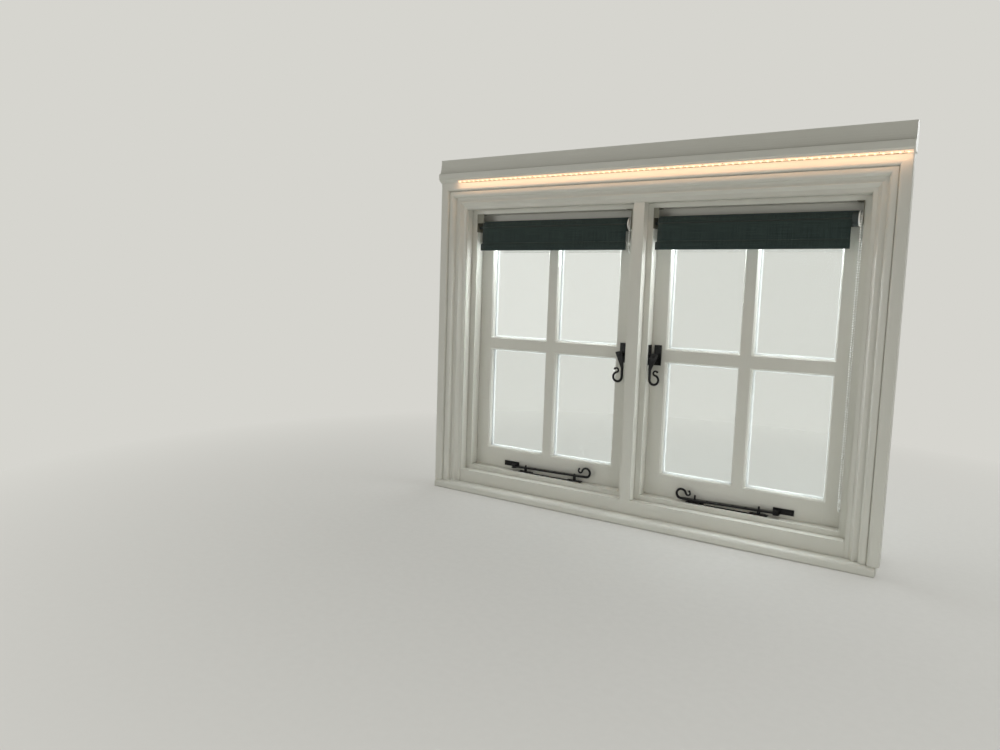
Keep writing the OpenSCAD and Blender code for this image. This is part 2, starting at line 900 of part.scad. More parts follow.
// The grooved wheel that the chain runs over, and the safety guide that holds its foot
module chain_guides() {
    cleat_w = 18;
    cleat_h = 26;
    cleat_t = 2;
    hook_w = 10;
    hook_h = 8;
    hook_up = 4;
    hook_x = chain_inset + 3;
    groove = chain_inset + groove_w / 2;
    color(white)
        for (blind = [[BLIND_LEFT, FOOT_LEFT], [BLIND_RIGHT, FOOT_RIGHT]]) {
            cleat_z = blind[1] + chain_r;
            translate([blind[0][1], 0, 0]) {
                bar_x(-guard_x, -groove, guard_r);
                bar_x(-groove, groove_w - groove, hub_r);
                bar_x(groove_w - groove, -bracket_t, guard_r);
                board([-cleat_t, roll_y - cleat_w / 2, cleat_z], [0, roll_y + cleat_w / 2, cleat_z + cleat_h]);
                board([-hook_x, roll_y - hook_w / 2, cleat_z + hook_up],
                      [-cleat_t, roll_y + hook_w / 2, cleat_z + hook_up + hook_h]);
            }
        }
}

frame_sill();
frame_head();
frame_jamb(-1);  // frame_jamb_left
frame_jamb(1);  // frame_jamb_right
frame_mullion();
mullion_cover();
lining_head();
lining_sill();
lining_jamb(-1);  // lining_jamb_left
lining_jamb(1);  // lining_jamb_right
architrave_head();
architrave_leg(-1);  // architrave_left
architrave_leg(1);  // architrave_right
capping();
lamp_tape();
window_board();
outside_sill();
casement_stiles(-1);  // casement_left_stiles
casement_rails(-1);  // casement_left_rails
casement_bars(-1);  // casement_left_bars
casement_glass(-1);  // casement_left_glass
casement_stiles(1);  // casement_right_stiles
casement_rails(1);  // casement_right_rails
casement_bars(1);  // casement_right_bars
casement_glass(1);  // casement_right_glass
glazing_spacers();
hinges();
fastener_plate(-1);  // fastener_plate_left
fastener_handle(-1);  // fastener_handle_left
fastener_plate(1);  // fastener_plate_right
fastener_handle(1);  // fastener_handle_right
fastener_keeps();
stay_bracket(-1);  // stay_bracket_left
stay_arm(-1);  // stay_arm_left
stay_bracket(1);  // stay_bracket_right
stay_arm(1);  // stay_arm_right
stay_pegs();
blind_roller(BLIND_LEFT);  // blind_left_roller
blind_fabric(BLIND_LEFT);  // blind_left_fabric
blind_hem_bar(BLIND_LEFT);  // blind_left_hem_bar
blind_chain(BLIND_LEFT, FOOT_LEFT);  // blind_left_chain
blind_roller(BLIND_RIGHT);  // blind_right_roller
blind_fabric(BLIND_RIGHT);  // blind_right_fabric
blind_hem_bar(BLIND_RIGHT);  // blind_right_hem_bar
blind_chain(BLIND_RIGHT, FOOT_RIGHT);  // blind_right_chain
blind_brackets();
chain_guides();
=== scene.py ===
"""Twin casement window of a small timber hut, dressed for a picture.

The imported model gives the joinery, glass and plates. This script gives them their finishes and
makes the pieces that need finer forms: forged handles and stays, screws, hinges, the spacers in
the panes, the lamps on the tape, the blinds' tubes, cloth, stitches and foot bars, and the bead
chains with their wheels. Everything is in metres: +X along the wall, +Y outwards, +Z up.
"""

import math

import bmesh
import bpy
from mathutils import Matrix, Vector


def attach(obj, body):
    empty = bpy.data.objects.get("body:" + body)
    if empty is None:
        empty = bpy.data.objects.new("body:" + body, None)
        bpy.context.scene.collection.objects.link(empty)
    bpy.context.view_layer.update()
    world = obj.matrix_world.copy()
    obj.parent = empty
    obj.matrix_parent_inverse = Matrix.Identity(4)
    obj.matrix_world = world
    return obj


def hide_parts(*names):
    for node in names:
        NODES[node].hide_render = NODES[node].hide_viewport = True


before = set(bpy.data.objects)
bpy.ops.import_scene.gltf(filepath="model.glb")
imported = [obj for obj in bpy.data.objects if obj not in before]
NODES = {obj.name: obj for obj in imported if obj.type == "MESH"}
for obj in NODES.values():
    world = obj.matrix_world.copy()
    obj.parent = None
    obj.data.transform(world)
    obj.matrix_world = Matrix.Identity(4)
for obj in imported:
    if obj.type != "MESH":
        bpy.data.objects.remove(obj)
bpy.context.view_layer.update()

MM = 0.001
SIDES = {"left": -1, "right": 1}

# The roller blinds: where each one hangs between its brackets, and its own sizes
BLIND_SPANS = {"left": (-0.551, -0.032), "right": (0.032, 0.551)}
ROLL_Y = 0.0395
ROLL_Z = 0.825
ROLL_RADIUS = 0.0193
TUBE_RADIUS = 0.0140
CLOTH_THICK = 0.00045
CLOTH_PITCH = 0.0006
CLOTH_ENDS = {"left": (-0.526, -0.0445), "right": (0.0475, 0.5265)}
CLOTH_FRONT_Y = ROLL_Y - ROLL_RADIUS
FOOT_BAR_Y = CLOTH_FRONT_Y + 0.3 * MM
HEM_TOP = 0.7755
HEM_LOW = 0.7535
CHAIN_INSET = 0.0045
CHAIN_RADIUS = 0.015
CHAIN_FEET = {"left": 0.745, "right": 0.123}


# ---- Colours and node helpers ----------------------------------------------------------------

def srgb(red, green, blue):
    """A colour as a picture shows it, from 0 to 255, as the linear colour a shader takes."""
    def linear(value):
        value /= 255
        return value / 12.92 if value <= 0.04045 else ((value + 0.055) / 1.055) ** 2.4
    return (linear(red), linear(green), linear(blue), 1.0)


class Wiring:
    """Adds nodes to one tree. A value given to an input is a number, a colour or another socket."""

    def __init__(self, tree):
        self.tree = tree

    def feed(self, inputs, values):
        """Gives values to inputs, by their names or their places in the row."""
        for name, value in values.items():
            if isinstance(value, bpy.types.NodeSocket):
                self.tree.links.new(value, inputs[name])
            else:
                inputs[name].default_value = value

    def add(self, kind, values=None, **settings):
        node = self.tree.nodes.new(kind)
        for name, value in settings.items():
            setattr(node, name, value)
        self.feed(node.inputs, values or {})
        return node

    def first(self, kind, values=None, **settings):
        """Adds a node and returns its first output."""
        return self.add(kind, values, **settings).outputs[0]

    def group(self, tree, values):
        return self.add("ShaderNodeGroup", values, node_tree=tree).outputs

    def math(self, operation, one, two=0.0, clamp=False):
        return self.first("ShaderNodeMath", {0: one, 1: two},
                          operation=operation, use_clamp=clamp)

    def times(self, one, two, clamp=False):
        return self.math("MULTIPLY", one, two, clamp)

    def plus(self, one, two):
        return self.math("ADD", one, two)

    def blend(self, factor, one, two, blend_type="MIX"):
        node = self.add("ShaderNodeMix", {0: factor, 6: one, 7: two},
                        data_type="RGBA", blend_type=blend_type)
        return node.outputs[2]

    def tint(self, colour, by):
        return self.blend(1.0, colour, (*by, 1), "MULTIPLY")

    def remap(self, value, low, high, to_low=0.0, to_high=1.0):
        node = self.add("ShaderNodeMapRange", {"Value": value, "From Min": low, "From Max": high,
                                               "To Min": to_low, "To Max": to_high})
        return node.outputs["Result"]

    def noise(self, vector, scale, detail=2.0, roughness=0.5):
        node = self.add("ShaderNodeTexNoise", {"Vector": vector, "Scale": scale,
                                               "Detail": detail, "Roughness": roughness})
        return node.outputs["Fac"]

    def stretched(self, vector, scale):
        return self.first("ShaderNodeMapping", {"Vector": vector, "Scale": scale})

    def raised(self, height, depth, normal=None, strength=1.0):
        """The normal of a surface that a height pattern lifts by up to depth."""
        values = {"Height": height, "Distance": depth, "Strength": strength}
        if normal is not None:
            values["Normal"] = normal
        return self.add("ShaderNodeBump", values).outputs["Normal"]

    def seen(self):
        """1 where the camera sees a thing: straight, in a reflection or through glass."""
        path = self.add("ShaderNodeLightPath").outputs
        return self.math("MAXIMUM", path["Is Camera Ray"],
                         self.math("MAXIMUM", path["Is Glossy Ray"], path["Is Transmission Ray"]))


def new_tree(name, inputs, outputs, kind="ShaderNodeTree"):
    """A node tree with its sockets, its wiring, what it is given and where its results go."""
    tree = bpy.data.node_groups.new(name, kind)
    for in_out, sockets in (("INPUT", inputs), ("OUTPUT", outputs)):
        for label, socket_kind in sockets.items():
            tree.interface.new_socket(name=label, in_out=in_out,
                                      socket_type="NodeSocket" + socket_kind)
    w = Wiring(tree)
    return tree, w, w.add("NodeGroupInput").outputs, w.add("NodeGroupOutput").inputs


# ---- Effects that several finishes share -----------------------------------------------------

def make_edge_softening():
    """Edges rounded by the light, and masks of edges that stand out and corners that lie deep."""
    tree, w, given, result = new_tree(
        "edge_softening", {"Radius": "Float", "Reach": "Float"},
        {"Normal": "Vector", "Edge": "Float", "Corner": "Float"})
    rounded = w.add("ShaderNodeBevel", {"Radius": given["Radius"]}, samples=6).outputs["Normal"]
    flat = w.add("ShaderNodeNewGeometry").outputs["Normal"]
    agree = w.add("ShaderNodeVectorMath", {0: rounded, 1: flat},
                  operation="DOT_PRODUCT").outputs["Value"]
    open_sky = w.add("ShaderNodeAmbientOcclusion", {"Distance": given["Reach"]},
                     samples=6).outputs["AO"]
    bend = w.remap(agree, 1.0, 0.8)
    # Corner comes from ambient occlusion; the finishes use it to paint shade into corners and
    # hollows.
    w.feed(result, {"Normal": rounded,
                    "Edge": w.times(bend, w.remap(open_sky, 0.55, 0.95), clamp=True),
                    "Corner": w.remap(open_sky, 0.72, 0.2)})
    return tree


def make_brushed_paint():
    """Paint laid on with a brush: strokes along the timber, faint peel, patches, and corners
    darkened by painted shade with grime specks.
    """
    tree, w, given, result = new_tree(
        "brushed_paint",
        {"Paint": "Color", "Shade And Grime": "Color", "Position": "Vector", "Strokes": "Vector",
         "Edge": "Float", "Corner": "Float"},
        {"Color": "Color", "Roughness": "Float", "Height": "Float"})
    patches = w.remap(w.noise(given["Position"], 2.6, 3.0), 0.35, 0.65)
    strokes = w.noise(given["Strokes"], 1.0, 3.0, 0.6)
    peel = w.noise(given["Position"], 700.0, 1.0)
    specks = w.remap(w.noise(given["Position"], 38.0, 4.0, 0.7), 0.5, 0.66)
    worn = w.blend(w.times(patches, 0.55), given["Paint"],
                   w.tint(given["Paint"], (0.93, 0.935, 0.92)))
    streaked = w.blend(w.remap(strokes, 0.3, 0.75, 0.0, 0.4), worn,
                       w.tint(worn, (0.95, 0.95, 0.94)))
    rubbed = w.blend(w.times(given["Edge"], 0.3), streaked,
                     w.tint(given["Paint"], (1.08, 1.08, 1.08)))
    # Painted shade: the corners darken by the ambient-occlusion mask, broken by grime specks.
    corner_shade_and_grime = w.times(w.math("POWER", given["Corner"], 1.5),
                   w.plus(w.times(specks, 0.55), 0.5), clamp=True)
    w.feed(result, {
        "Color": w.blend(w.times(corner_shade_and_grime, 0.55), rubbed, given["Shade And Grime"]),
        "Roughness": w.plus(w.remap(strokes, 0.3, 0.7, 0.4, 0.5), w.times(corner_shade_and_grime, 0.3)),
        "Height": w.plus(w.times(strokes, 0.75), w.times(peel, 0.25))})
    return tree


def make_settled_dust():
    """A film of dust on faces that look up, broken by a fine noise."""
    tree, w, given, result = new_tree(
        "settled_dust", {"Position": "Vector", "Amount": "Float"},
        {"Dust": "Float"})
    normal = w.add("ShaderNodeNewGeometry").outputs["Normal"]
    facing = w.add("ShaderNodeSeparateXYZ", {0: normal}).outputs["Z"]
    broken = w.remap(w.noise(given["Position"], 120.0, 5.0, 0.65), 0.35, 0.7)
    mask = w.times(w.remap(facing, 0.3, 1.0), broken, clamp=True)
    w.feed(result, {"Dust": w.times(mask, given["Amount"])})
    return tree


def make_hammered_iron():
    """The uneven skin of forged iron: flats left by the hammer and a fine scale over them."""
    tree, w, given, result = new_tree(
        "hammered_iron", {"Position": "Vector"},
        {"Height": "Float", "Scale": "Float"})
    flats = w.add("ShaderNodeTexVoronoi",
                  {"Vector": given["Position"], "Scale": 210.0, "Smoothness": 0.7},
                  feature="SMOOTH_F1").outputs["Distance"]
    scale = w.noise(given["Position"], 900.0, 4.0, 0.65)
    w.feed(result, {"Height": w.plus(w.times(flats, 0.8), w.times(scale, 0.2)), "Scale": scale})
    return tree


def make_plain_weave():
    """Plain-woven cloth on the piece's UV map, in metres: threads over and under, with slubs."""
    tree, w, given, result = new_tree(
        "plain_weave",
        {"UV": "Vector", "Pitch": "Float", "Thread": "Color", "Gap": "Color"},
        {"Color": "Color", "Height": "Float", "Roughness": "Float"})
    split = w.add("ShaderNodeSeparateXYZ", {0: given["UV"]}).outputs
    turn = w.math("DIVIDE", math.pi, given["Pitch"])
    across = w.times(split["X"], turn)
    along = w.times(split["Y"], turn)
    warp = w.math("ABSOLUTE", w.math("SINE", across))
    weft = w.math("ABSOLUTE", w.math("SINE", along))
    over = w.math("GREATER_THAN", w.times(w.math("SINE", w.times(across, 0.5)),
                                          w.math("SINE", w.times(along, 0.5))), 0.0)
    thread = w.plus(w.times(over, warp), w.times(w.math("SUBTRACT", 1.0, over), weft))
    slubs = w.plus(w.noise(w.stretched(given["UV"], (14.0, 900.0, 1.0)), 1.0, 2.0),
                   w.noise(w.stretched(given["UV"], (900.0, 14.0, 1.0)), 1.0, 2.0))
    tone = w.blend(w.remap(slubs, 0.8, 1.25), w.tint(given["Thread"], (0.72, 0.74, 0.74)),
                   w.tint(given["Thread"], (1.35, 1.33, 1.3)))
    w.feed(result, {"Color": w.blend(w.remap(thread, 0.15, 0.6), given["Gap"], tone),
                    "Height": thread,
                    "Roughness": w.remap(slubs, 0.7, 1.3, 0.92, 0.8)})
    return tree


EDGE_SOFTENING = make_edge_softening()
BRUSHED_PAINT = make_brushed_paint()
SETTLED_DUST = make_settled_dust()
HAMMERED_IRON = make_hammered_iron()
PLAIN_WEAVE = make_plain_weave()


# ---- Finishes --------------------------------------------------------------------------------

def new_finish(name):
    """A material, its wiring, its Principled shader's inputs and its coordinates."""
    material = bpy.data.materials.new(name)
    material.use_nodes = True
    w = Wiring(material.node_tree)
    shader = material.node_tree.nodes["Principled BSDF"]
    return material, w, shader.inputs, w.add("ShaderNodeTexCoord").outputs


PAINT = srgb(215, 214, 205)
# The brown-grey that the paint takes in its corners: painted shade, with grime specks.
SHADE_AND_GRIME = srgb(104, 92, 72)


def cream_paint(name, stroke_scale):
    """Brushed cream paint; stroke_scale is short along the timber and long across it."""
    material, w, shader, place = new_finish(name)
    soft = w.group(EDGE_SOFTENING, {"Radius": 0.9 * MM, "Reach": 9 * MM})
    coat = w.group(BRUSHED_PAINT, {
        "Paint": PAINT, "Shade And Grime": SHADE_AND_GRIME, "Position": place["Object"],
        "Strokes": w.stretched(place["Object"], stroke_scale),
        "Edge": soft["Edge"], "Corner": soft["Corner"]})
    w.feed(shader, {"Base Color": coat["Color"], "Roughness": coat["Roughness"],
                    "Normal": w.raised(coat["Height"], 0.22 * MM, soft["Normal"], 0.6)})
    return material


def black_iron():
    """Forged iron, blacked, a little paler on its edges and with a trace of dust."""
    material, w, shader, place = new_finish("black_iron")
    soft = w.group(EDGE_SOFTENING, {"Radius": 0.6 * MM, "Reach": 4 * MM})
    skin = w.group(HAMMERED_IRON, {"Position": place["Object"]})
    dust = w.group(SETTLED_DUST, {"Position": place["Object"], "Amount": 0.05})["Dust"]
    bare = w.blend(w.times(soft["Edge"], 0.5), srgb(10, 10, 11), srgb(30, 29, 28))
    w.feed(shader, {
        "Base Color": w.blend(dust, bare, srgb(120, 116, 104)),
        "Roughness": w.plus(w.remap(skin["Scale"], 0.3, 0.7, 0.22, 0.38), w.times(dust, 0.6)),
        "Normal": w.raised(skin["Height"], 0.35 * MM, soft["Normal"], 0.7),
        "Specular IOR Level": 0.26})
    return material


def window_glass():
    """Clear sheet glass. Light passes straight through it, so that it reaches the reveals."""
    material, w, shader, place = new_finish("window_glass")
    smears = w.noise(place["Object"], 9.0, 4.0, 0.6)
    shadow = w.add("ShaderNodeLightPath").outputs["Is Shadow Ray"]
    w.feed(shader, {
        "Base Color": srgb(253, 255, 254), "Transmission Weight": 1.0, "IOR": 1.5,
        "Roughness": w.remap(smears, 0.45, 0.8, 0.0, 0.012),
        "Alpha": w.math("SUBTRACT", 1.0, w.times(shadow, 0.92))})
    return material


def spacer_metal():
    """White lacquered metal with a fine grain."""
    material, w, shader, place = new_finish("white_spacer")
    grain = w.noise(place["Object"], 1500.0, 2.0)
    tone = w.remap(w.noise(place["Object"], 12.0, 3.0), 0.3, 0.7)
    w.feed(shader, {"Base Color": w.blend(tone, srgb(214, 216, 214), srgb(232, 233, 230)),
                    "Roughness": w.remap(grain, 0.3, 0.7, 0.35, 0.5),
                    "Normal": w.raised(grain, 0.03 * MM), "Metallic": 0.2})
    return material


def slate_cloth():
    """Dark slate blind cloth in a plain weave."""
    material, w, shader, place = new_finish("slate_cloth")
    cloth = w.group(PLAIN_WEAVE, {"UV": place["UV"], "Pitch": 0.75 * MM,
                                  "Thread": srgb(50, 65, 63), "Gap": srgb(19, 25, 24)})
    w.feed(shader, {"Base Color": cloth["Color"], "Roughness": cloth["Roughness"],
                    "Normal": w.raised(cloth["Height"], 0.12 * MM, strength=0.7),
                    "Sheen Weight": 0.12, "Sheen Roughness": 0.5, "Specular IOR Level": 0.25})
    return material


def moulded_plastic(name, colour, hollow_shade, roughness):
    """Moulded plastic with a fine spark-eroded skin, and painted shade: a darker tone where it lies
    deep.
    """
    material, w, shader, place = new_finish(name)
    soft = w.group(EDGE_SOFTENING, {"Radius": 0.4 * MM, "Reach": 5 * MM})
    skin = w.noise(place["Object"], 1800.0, 2.0)
    # Painted shade: the colour darkens in the hollows by the ambient-occlusion mask.
    w.feed(shader, {"Base Color": w.blend(w.times(soft["Corner"], 0.6), colour, hollow_shade),
                    "Roughness": w.remap(skin, 0.3, 0.7, roughness - 0.06, roughness + 0.08),
                    "Normal": w.raised(skin, 0.04 * MM, soft["Normal"])})
    return material


def bracket_steel():
    """Lacquered steel strip: fine lines from the rolls, and paler edges."""
    material, w, shader, place = new_finish("bracket_steel")
    soft = w.group(EDGE_SOFTENING, {"Radius": 0.4 * MM, "Reach": 5 * MM})
    lines = w.noise(w.stretched(place["Object"], (900, 900, 40)), 1.0, 3.0)
    tone = w.blend(w.remap(lines, 0.3, 0.7), srgb(102, 100, 86), srgb(122, 120, 105))
    w.feed(shader, {"Base Color": w.blend(soft["Edge"], tone, srgb(165, 163, 154)),
                    "Roughness": w.remap(lines, 0.3, 0.7, 0.38, 0.52),
                    "Normal": w.raised(lines, 0.03 * MM, soft["Normal"]), "Metallic": 0.15})
    return material


def lamp_strip():
    """The tape's own film and the lamps' bodies, with a painted glow that stands in for the warm
    light of the lamps on them.
    """
    material, w, shader, place = new_finish("lamp_tape")
    film = w.remap(w.noise(place["Object"], 400.0, 2.0), 0.3, 0.7)
    # Painted light: the emission makes the film and the lamp bodies glow, though they give no light
    # of their own.
    w.feed(shader, {"Base Color": w.blend(film, srgb(236, 222, 202), srgb(244, 232, 214)),
                    "Roughness": w.remap(film, 0.0, 1.0, 0.35, 0.5),
                    "Emission Color": srgb(255, 206, 166), "Emission Strength": 0.27})
    return material


def lamp_phosphor():
    """The lit window of each lamp."""
    material, w, shader, place = new_finish("lamp_phosphor")
    grain = w.noise(place["Object"], 2500.0, 1.0)
    w.feed(shader, {"Base Color": w.blend(grain, srgb(250, 220, 120), srgb(255, 236, 160)),
                    "Roughness": 0.3,
                    "Emission Color": srgb(255, 226, 168), "Emission Strength": 2.4})
    return material


def solder_pad():
    """The tinned copper at a tape's cutting marks, dull and a little green."""
    material, w, shader, place = new_finish("solder_pad")
    tarnish = w.remap(w.noise(place["Object"], 300.0, 3.0), 0.35, 0.65)
    w.feed(shader, {"Base Color": w.blend(tarnish, srgb(126, 108, 66), srgb(150, 134, 88)),
                    "Roughness": w.remap(tarnish, 0.0, 1.0, 0.4, 0.6)})
    return material


def hem_thread():
    """Twisted sewing thread, paler than the cloth."""
    material, w, shader, place = new_finish("hem_thread")
    twist = w.noise(place["Object"], 1400.0, 2.0)
    w.feed(shader, {"Base Color": w.blend(twist, srgb(92, 102, 100), srgb(122, 130, 127)),
                    "Roughness": w.remap(twist, 0.3, 0.7, 0.6, 0.8)})
    return material


LEVEL_PAINT = cream_paint("cream_paint_level", (7.0, 330.0, 330.0))
UPRIGHT_PAINT = cream_paint("cream_paint_upright", (330.0, 330.0, 7.0))
IRON = black_iron()
GLASS = window_glass()
SPACER = spacer_metal()
CLOTH = slate_cloth()
# Each plastic's second colour is the painted shade in its hollows.
WHITE_PLASTIC = moulded_plastic("white_plastic", srgb(238, 239, 235), srgb(166, 164, 153), 0.36)
DARK_PLASTIC = moulded_plastic("dark_plastic", srgb(38, 48, 46), srgb(16, 20, 19), 0.55)
BRACKET = bracket_steel()
LAMP_STRIP = lamp_strip()
LAMP_PHOSPHOR = lamp_phosphor()
SOLDER_PAD = solder_pad()
THREAD = hem_thread()


def finish_node(name, material):
    """Gives a CAD node its finish in the slots it already has."""
    node = NODES[name]
    if not node.material_slots:
        node.data.materials.append(material)
    for slot in node.material_slots:
        slot.material = material


LEVEL_JOINERY = ["frame_sill", "frame_head", "lining_head", "lining_sill", "architrave_head",
                 "capping", "window_board", "outside_sill"]
UPRIGHT_JOINERY = ["frame_mullion", "mullion_cover"]
for side in SIDES:
    LEVEL_JOINERY.append(f"casement_{side}_rails")
    UPRIGHT_JOINERY += [f"frame_jamb_{side}", f"lining_jamb_{side}", f"architrave_{side}",
                        f"casement_{side}_stiles", f"casement_{side}_bars"]
    finish_node(f"casement_{side}_glass", GLASS)
    finish_node(f"fastener_plate_{side}", IRON)
    finish_node(f"stay_bracket_{side}", IRON)
for node_name in LEVEL_JOINERY:
    finish_node(node_name, LEVEL_PAINT)
for node_name in UPRIGHT_JOINERY:
    finish_node(node_name, UPRIGHT_PAINT)
finish_node("fastener_keeps", IRON)
finish_node("stay_pegs", IRON)
finish_node("blind_brackets", BRACKET)
# The whole tape takes the painted glow of its film.
finish_node("lamp_tape", LAMP_STRIP)


# ---- Making meshes ---------------------------------------------------------------------------

def put(name, data):
    """Puts a mesh, a lamp or a camera in the scene."""
    thing = bpy.data.objects.new(name, data)
    bpy.context.scene.collection.objects.link(thing)
    return thing


def as_piece(name, mesh, materials, stands_for=()):
    """Puts a mesh in the scene as a piece of the window."""
    piece = put(name, mesh)
    mesh.materials.clear()
    for material in materials:
        mesh.materials.append(material)
    if stands_for:
        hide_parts(*stands_for)
    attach(piece, "root")
    return piece


def plain_mesh(bm, name):
    """Turns a bmesh into a mesh as it is."""
    mesh = bpy.data.meshes.new(name)
    bm.to_mesh(mesh)
    bm.free()
    return mesh


def mesh_from(bm, name, smooth_angle=None):
    """Turns a bmesh into a mesh that faces outwards, sharp where it turns past smooth_angle."""
    bmesh.ops.recalc_face_normals(bm, faces=bm.faces)
    mesh = plain_mesh(bm, name)
    if smooth_angle is not None:
        mesh.shade_smooth()
        mesh.set_sharp_from_angle(angle=math.radians(smooth_angle))
    return mesh


def built_piece(bm, name, smooth_angle, materials, stands_for=()):
    return as_piece(name, mesh_from(bm, name, smooth_angle), materials, stands_for)


def join_rings(bm, rings, capped=True):
    """Faces from each ring of points to the next and, if capped, over both ends."""
    count = len(rings[0])
    faces = [bm.faces.new((one[k], one[(k + 1) % count], two[(k + 1) % count], two[k]))
             for one, two in zip(rings, rings[1:]) for k in range(count)]
    if capped:
        faces += [bm.faces.new(rings[0][::-1]), bm.faces.new(rings[-1])]
    return faces


ALONG_X, ALONG_Y, ALONG_Z = range(3)


def add_turning(bm, axis, centre, profile, steps=48, material=0):
    """Turns (place along the axis, radius) points about the axis through centre, ends closed.

    centre is the axis's place in the other two directions, in the order X, Y, Z.
    """
    ways = [way for way in range(3) if way != axis]
    rings = []
    for along, radius in profile:
        rings.append([])
        for k in range(steps):
            turn = math.tau * k / steps
            spot = Vector()
            spot[axis] = along
            spot[ways[0]] = centre[0] + radius * math.cos(turn)
            spot[ways[1]] = centre[1] + radius * math.sin(turn)
            rings[-1].append(bm.verts.new(spot))
    for face in join_rings(bm, rings):
        face.material_index = material


def add_block(bm, low, high, bevel, material=0):
    """A box between two corners with its edges rounded."""
    made = bmesh.ops.create_cube(bm, size=1.0)
    size = Vector(high) - Vector(low)
    middle = (Vector(high) + Vector(low)) / 2
    for vert in made["verts"]:
        vert.co = Vector(vert.co[i] * size[i] + middle[i] for i in range(3))
    edges = list({edge for vert in made["verts"] for edge in vert.link_edges})
    rounded = bmesh.ops.bevel(bm, geom=edges, offset=bevel, segments=3, profile=0.5,
                              affect="EDGES")
    for face in {f for vert in rounded["verts"] for f in vert.link_faces}:
        face.material_index = material


# ---- Geometry Nodes: what repeats ------------------------------------------------------------

def dressed(w, geometry, finish):
    """The items made real, with their finish."""
    real = w.first("GeometryNodeRealizeInstances", {"Geometry": geometry})
    return w.first("GeometryNodeSetMaterial", {"Geometry": real, "Material": finish})


def make_row_tree():
    """One item again and again along a line, at a pitch, and a cord through them if it has size."""
    tree, w, given, result = new_tree(
        "row_of_items",
        {"Geometry": "Geometry", "Item": "Object", "Pitch": "Float", "Cord Radius": "Float",
         "Finish": "Material"}, {"Geometry": "Geometry"}, "GeometryNodeTree")
    line = w.first("GeometryNodeMeshToCurve", {"Mesh": given["Geometry"]})
    points = w.first("GeometryNodeResampleCurve", {"Curve": line, "Length": given["Pitch"]},
                     mode="LENGTH")
    item = w.add("GeometryNodeObjectInfo", {"Object": given["Item"]}).outputs["Geometry"]
    placed = w.first("GeometryNodeInstanceOnPoints", {"Points": points, "Instance": item})
    circle = w.first("GeometryNodeCurvePrimitiveCircle",
                     {"Resolution": 6, "Radius": given["Cord Radius"]})
    cord = w.first("GeometryNodeCurveToMesh", {"Curve": line, "Profile Curve": circle})
    some_cord = w.first("FunctionNodeCompare", {0: given["Cord Radius"], 1: 0.0},
                        operation="GREATER_THAN")
    chosen = w.first("GeometryNodeSwitch", {"Switch": some_cord, "True": cord},
                     input_type="GEOMETRY")
    joined = w.add("GeometryNodeJoinGeometry")
    for part in (placed, chosen):
        w.feed(joined.inputs, {0: part})
    w.feed(result, {"Geometry": dressed(w, joined.outputs[0], given["Finish"])})
    return tree


def make_spots_tree():
    """One item on each point, facing the way that the point says, at a chance angle."""
    tree, w, given, result = new_tree(
        "items_on_spots",
        {"Geometry": "Geometry", "Item": "Object", "Seed": "Int", "Finish": "Material"},
        {"Geometry": "Geometry"}, "GeometryNodeTree")
    facing = w.first("GeometryNodeInputNamedAttribute", {"Name": "facing"},
                     data_type="FLOAT_VECTOR")
    upright = w.first("FunctionNodeAlignRotationToVector", {"Vector": facing}, axis="Z")
    angle = w.add("FunctionNodeRandomValue", data_type="FLOAT")
    highest = [s for s in angle.inputs if s.name == "Max" and s.type == "VALUE"][0]
    highest.default_value = math.pi
    w.feed(angle.inputs, {"Seed": given["Seed"]})
    chance = [s for s in angle.outputs if s.type == "VALUE"][0]
    spin = w.first("FunctionNodeAxisAngleToRotation", {"Axis": (0, 0, 1), "Angle": chance})
    turned = w.first("FunctionNodeRotateRotation", {0: upright, 1: spin}, rotation_space="LOCAL")
    item = w.add("GeometryNodeObjectInfo", {"Object": given["Item"]}).outputs["Geometry"]
    placed = w.first("GeometryNodeInstanceOnPoints",
                     {"Points": given["Geometry"], "Instance": item, "Rotation": turned})
    w.feed(result, {"Geometry": dressed(w, placed, given["Finish"])})
    return tree


ROW_OF_ITEMS = make_row_tree()
ITEMS_ON_SPOTS = make_spots_tree()
ITEMS = []


def item_object(name, bm, smooth_angle=40):
    """The small thing that a tree repeats. It is taken away once the last row is made."""
    item = put(name, mesh_from(bm, name, smooth_angle))
    ITEMS.append(item)
    return item


def run_tree(tree, name, base_mesh, settings):
    """Runs a tree on a mesh and returns what it makes as a plain mesh."""
    holder = put(name, base_mesh)
    modifier = holder.modifiers.new(name, "NODES")
    modifier.node_group = tree
    for socket in tree.interface.items_tree:
        if socket.in_out == "INPUT" and socket.name in settings:
            modifier[socket.identifier] = settings[socket.name]
    holder.update_tag()
    graph = bpy.context.evaluated_depsgraph_get()
    mesh = bpy.data.meshes.new_from_object(holder.evaluated_get(graph))
    mesh.name = name
    bpy.data.objects.remove(holder)
    bpy.data.meshes.remove(base_mesh)
    return mesh


def line_mesh(name, run):
    """A mesh of one run of points; a run that ends where it starts is closed."""
    bm = bmesh.new()
    closed = (Vector(run[0]) - Vector(run[-1])).length < 1e-7
    verts = [bm.verts.new(point) for point in (run[:-1] if closed else run)]
    for one, two in zip(verts, verts[1:]):
        bm.edges.new((one, two))
    if closed:
        bm.edges.new((verts[-1], verts[0]))
    return plain_mesh(bm, name)


def spots_mesh(name, spots):
    """A mesh of single points, each with the way it faces."""
    mesh = bpy.data.meshes.new(name)
    mesh.from_pydata([place for place, _ in spots], [], [])
    facing = mesh.attributes.new("facing", "FLOAT_VECTOR", "POINT")
    for index, (_, direction) in enumerate(spots):
        facing.data[index].vector = direction
    return mesh


def row_piece(name, item, run, pitch, material, cord_radius=0.0, stands_for=()):
    mesh = run_tree(ROW_OF_ITEMS, name, line_mesh(name + "_line", run),
                    {"Item": item, "Pitch": pitch, "Cord Radius": cord_radius,
                     "Finish": material})
    return as_piece(name, mesh, [material], stands_for)


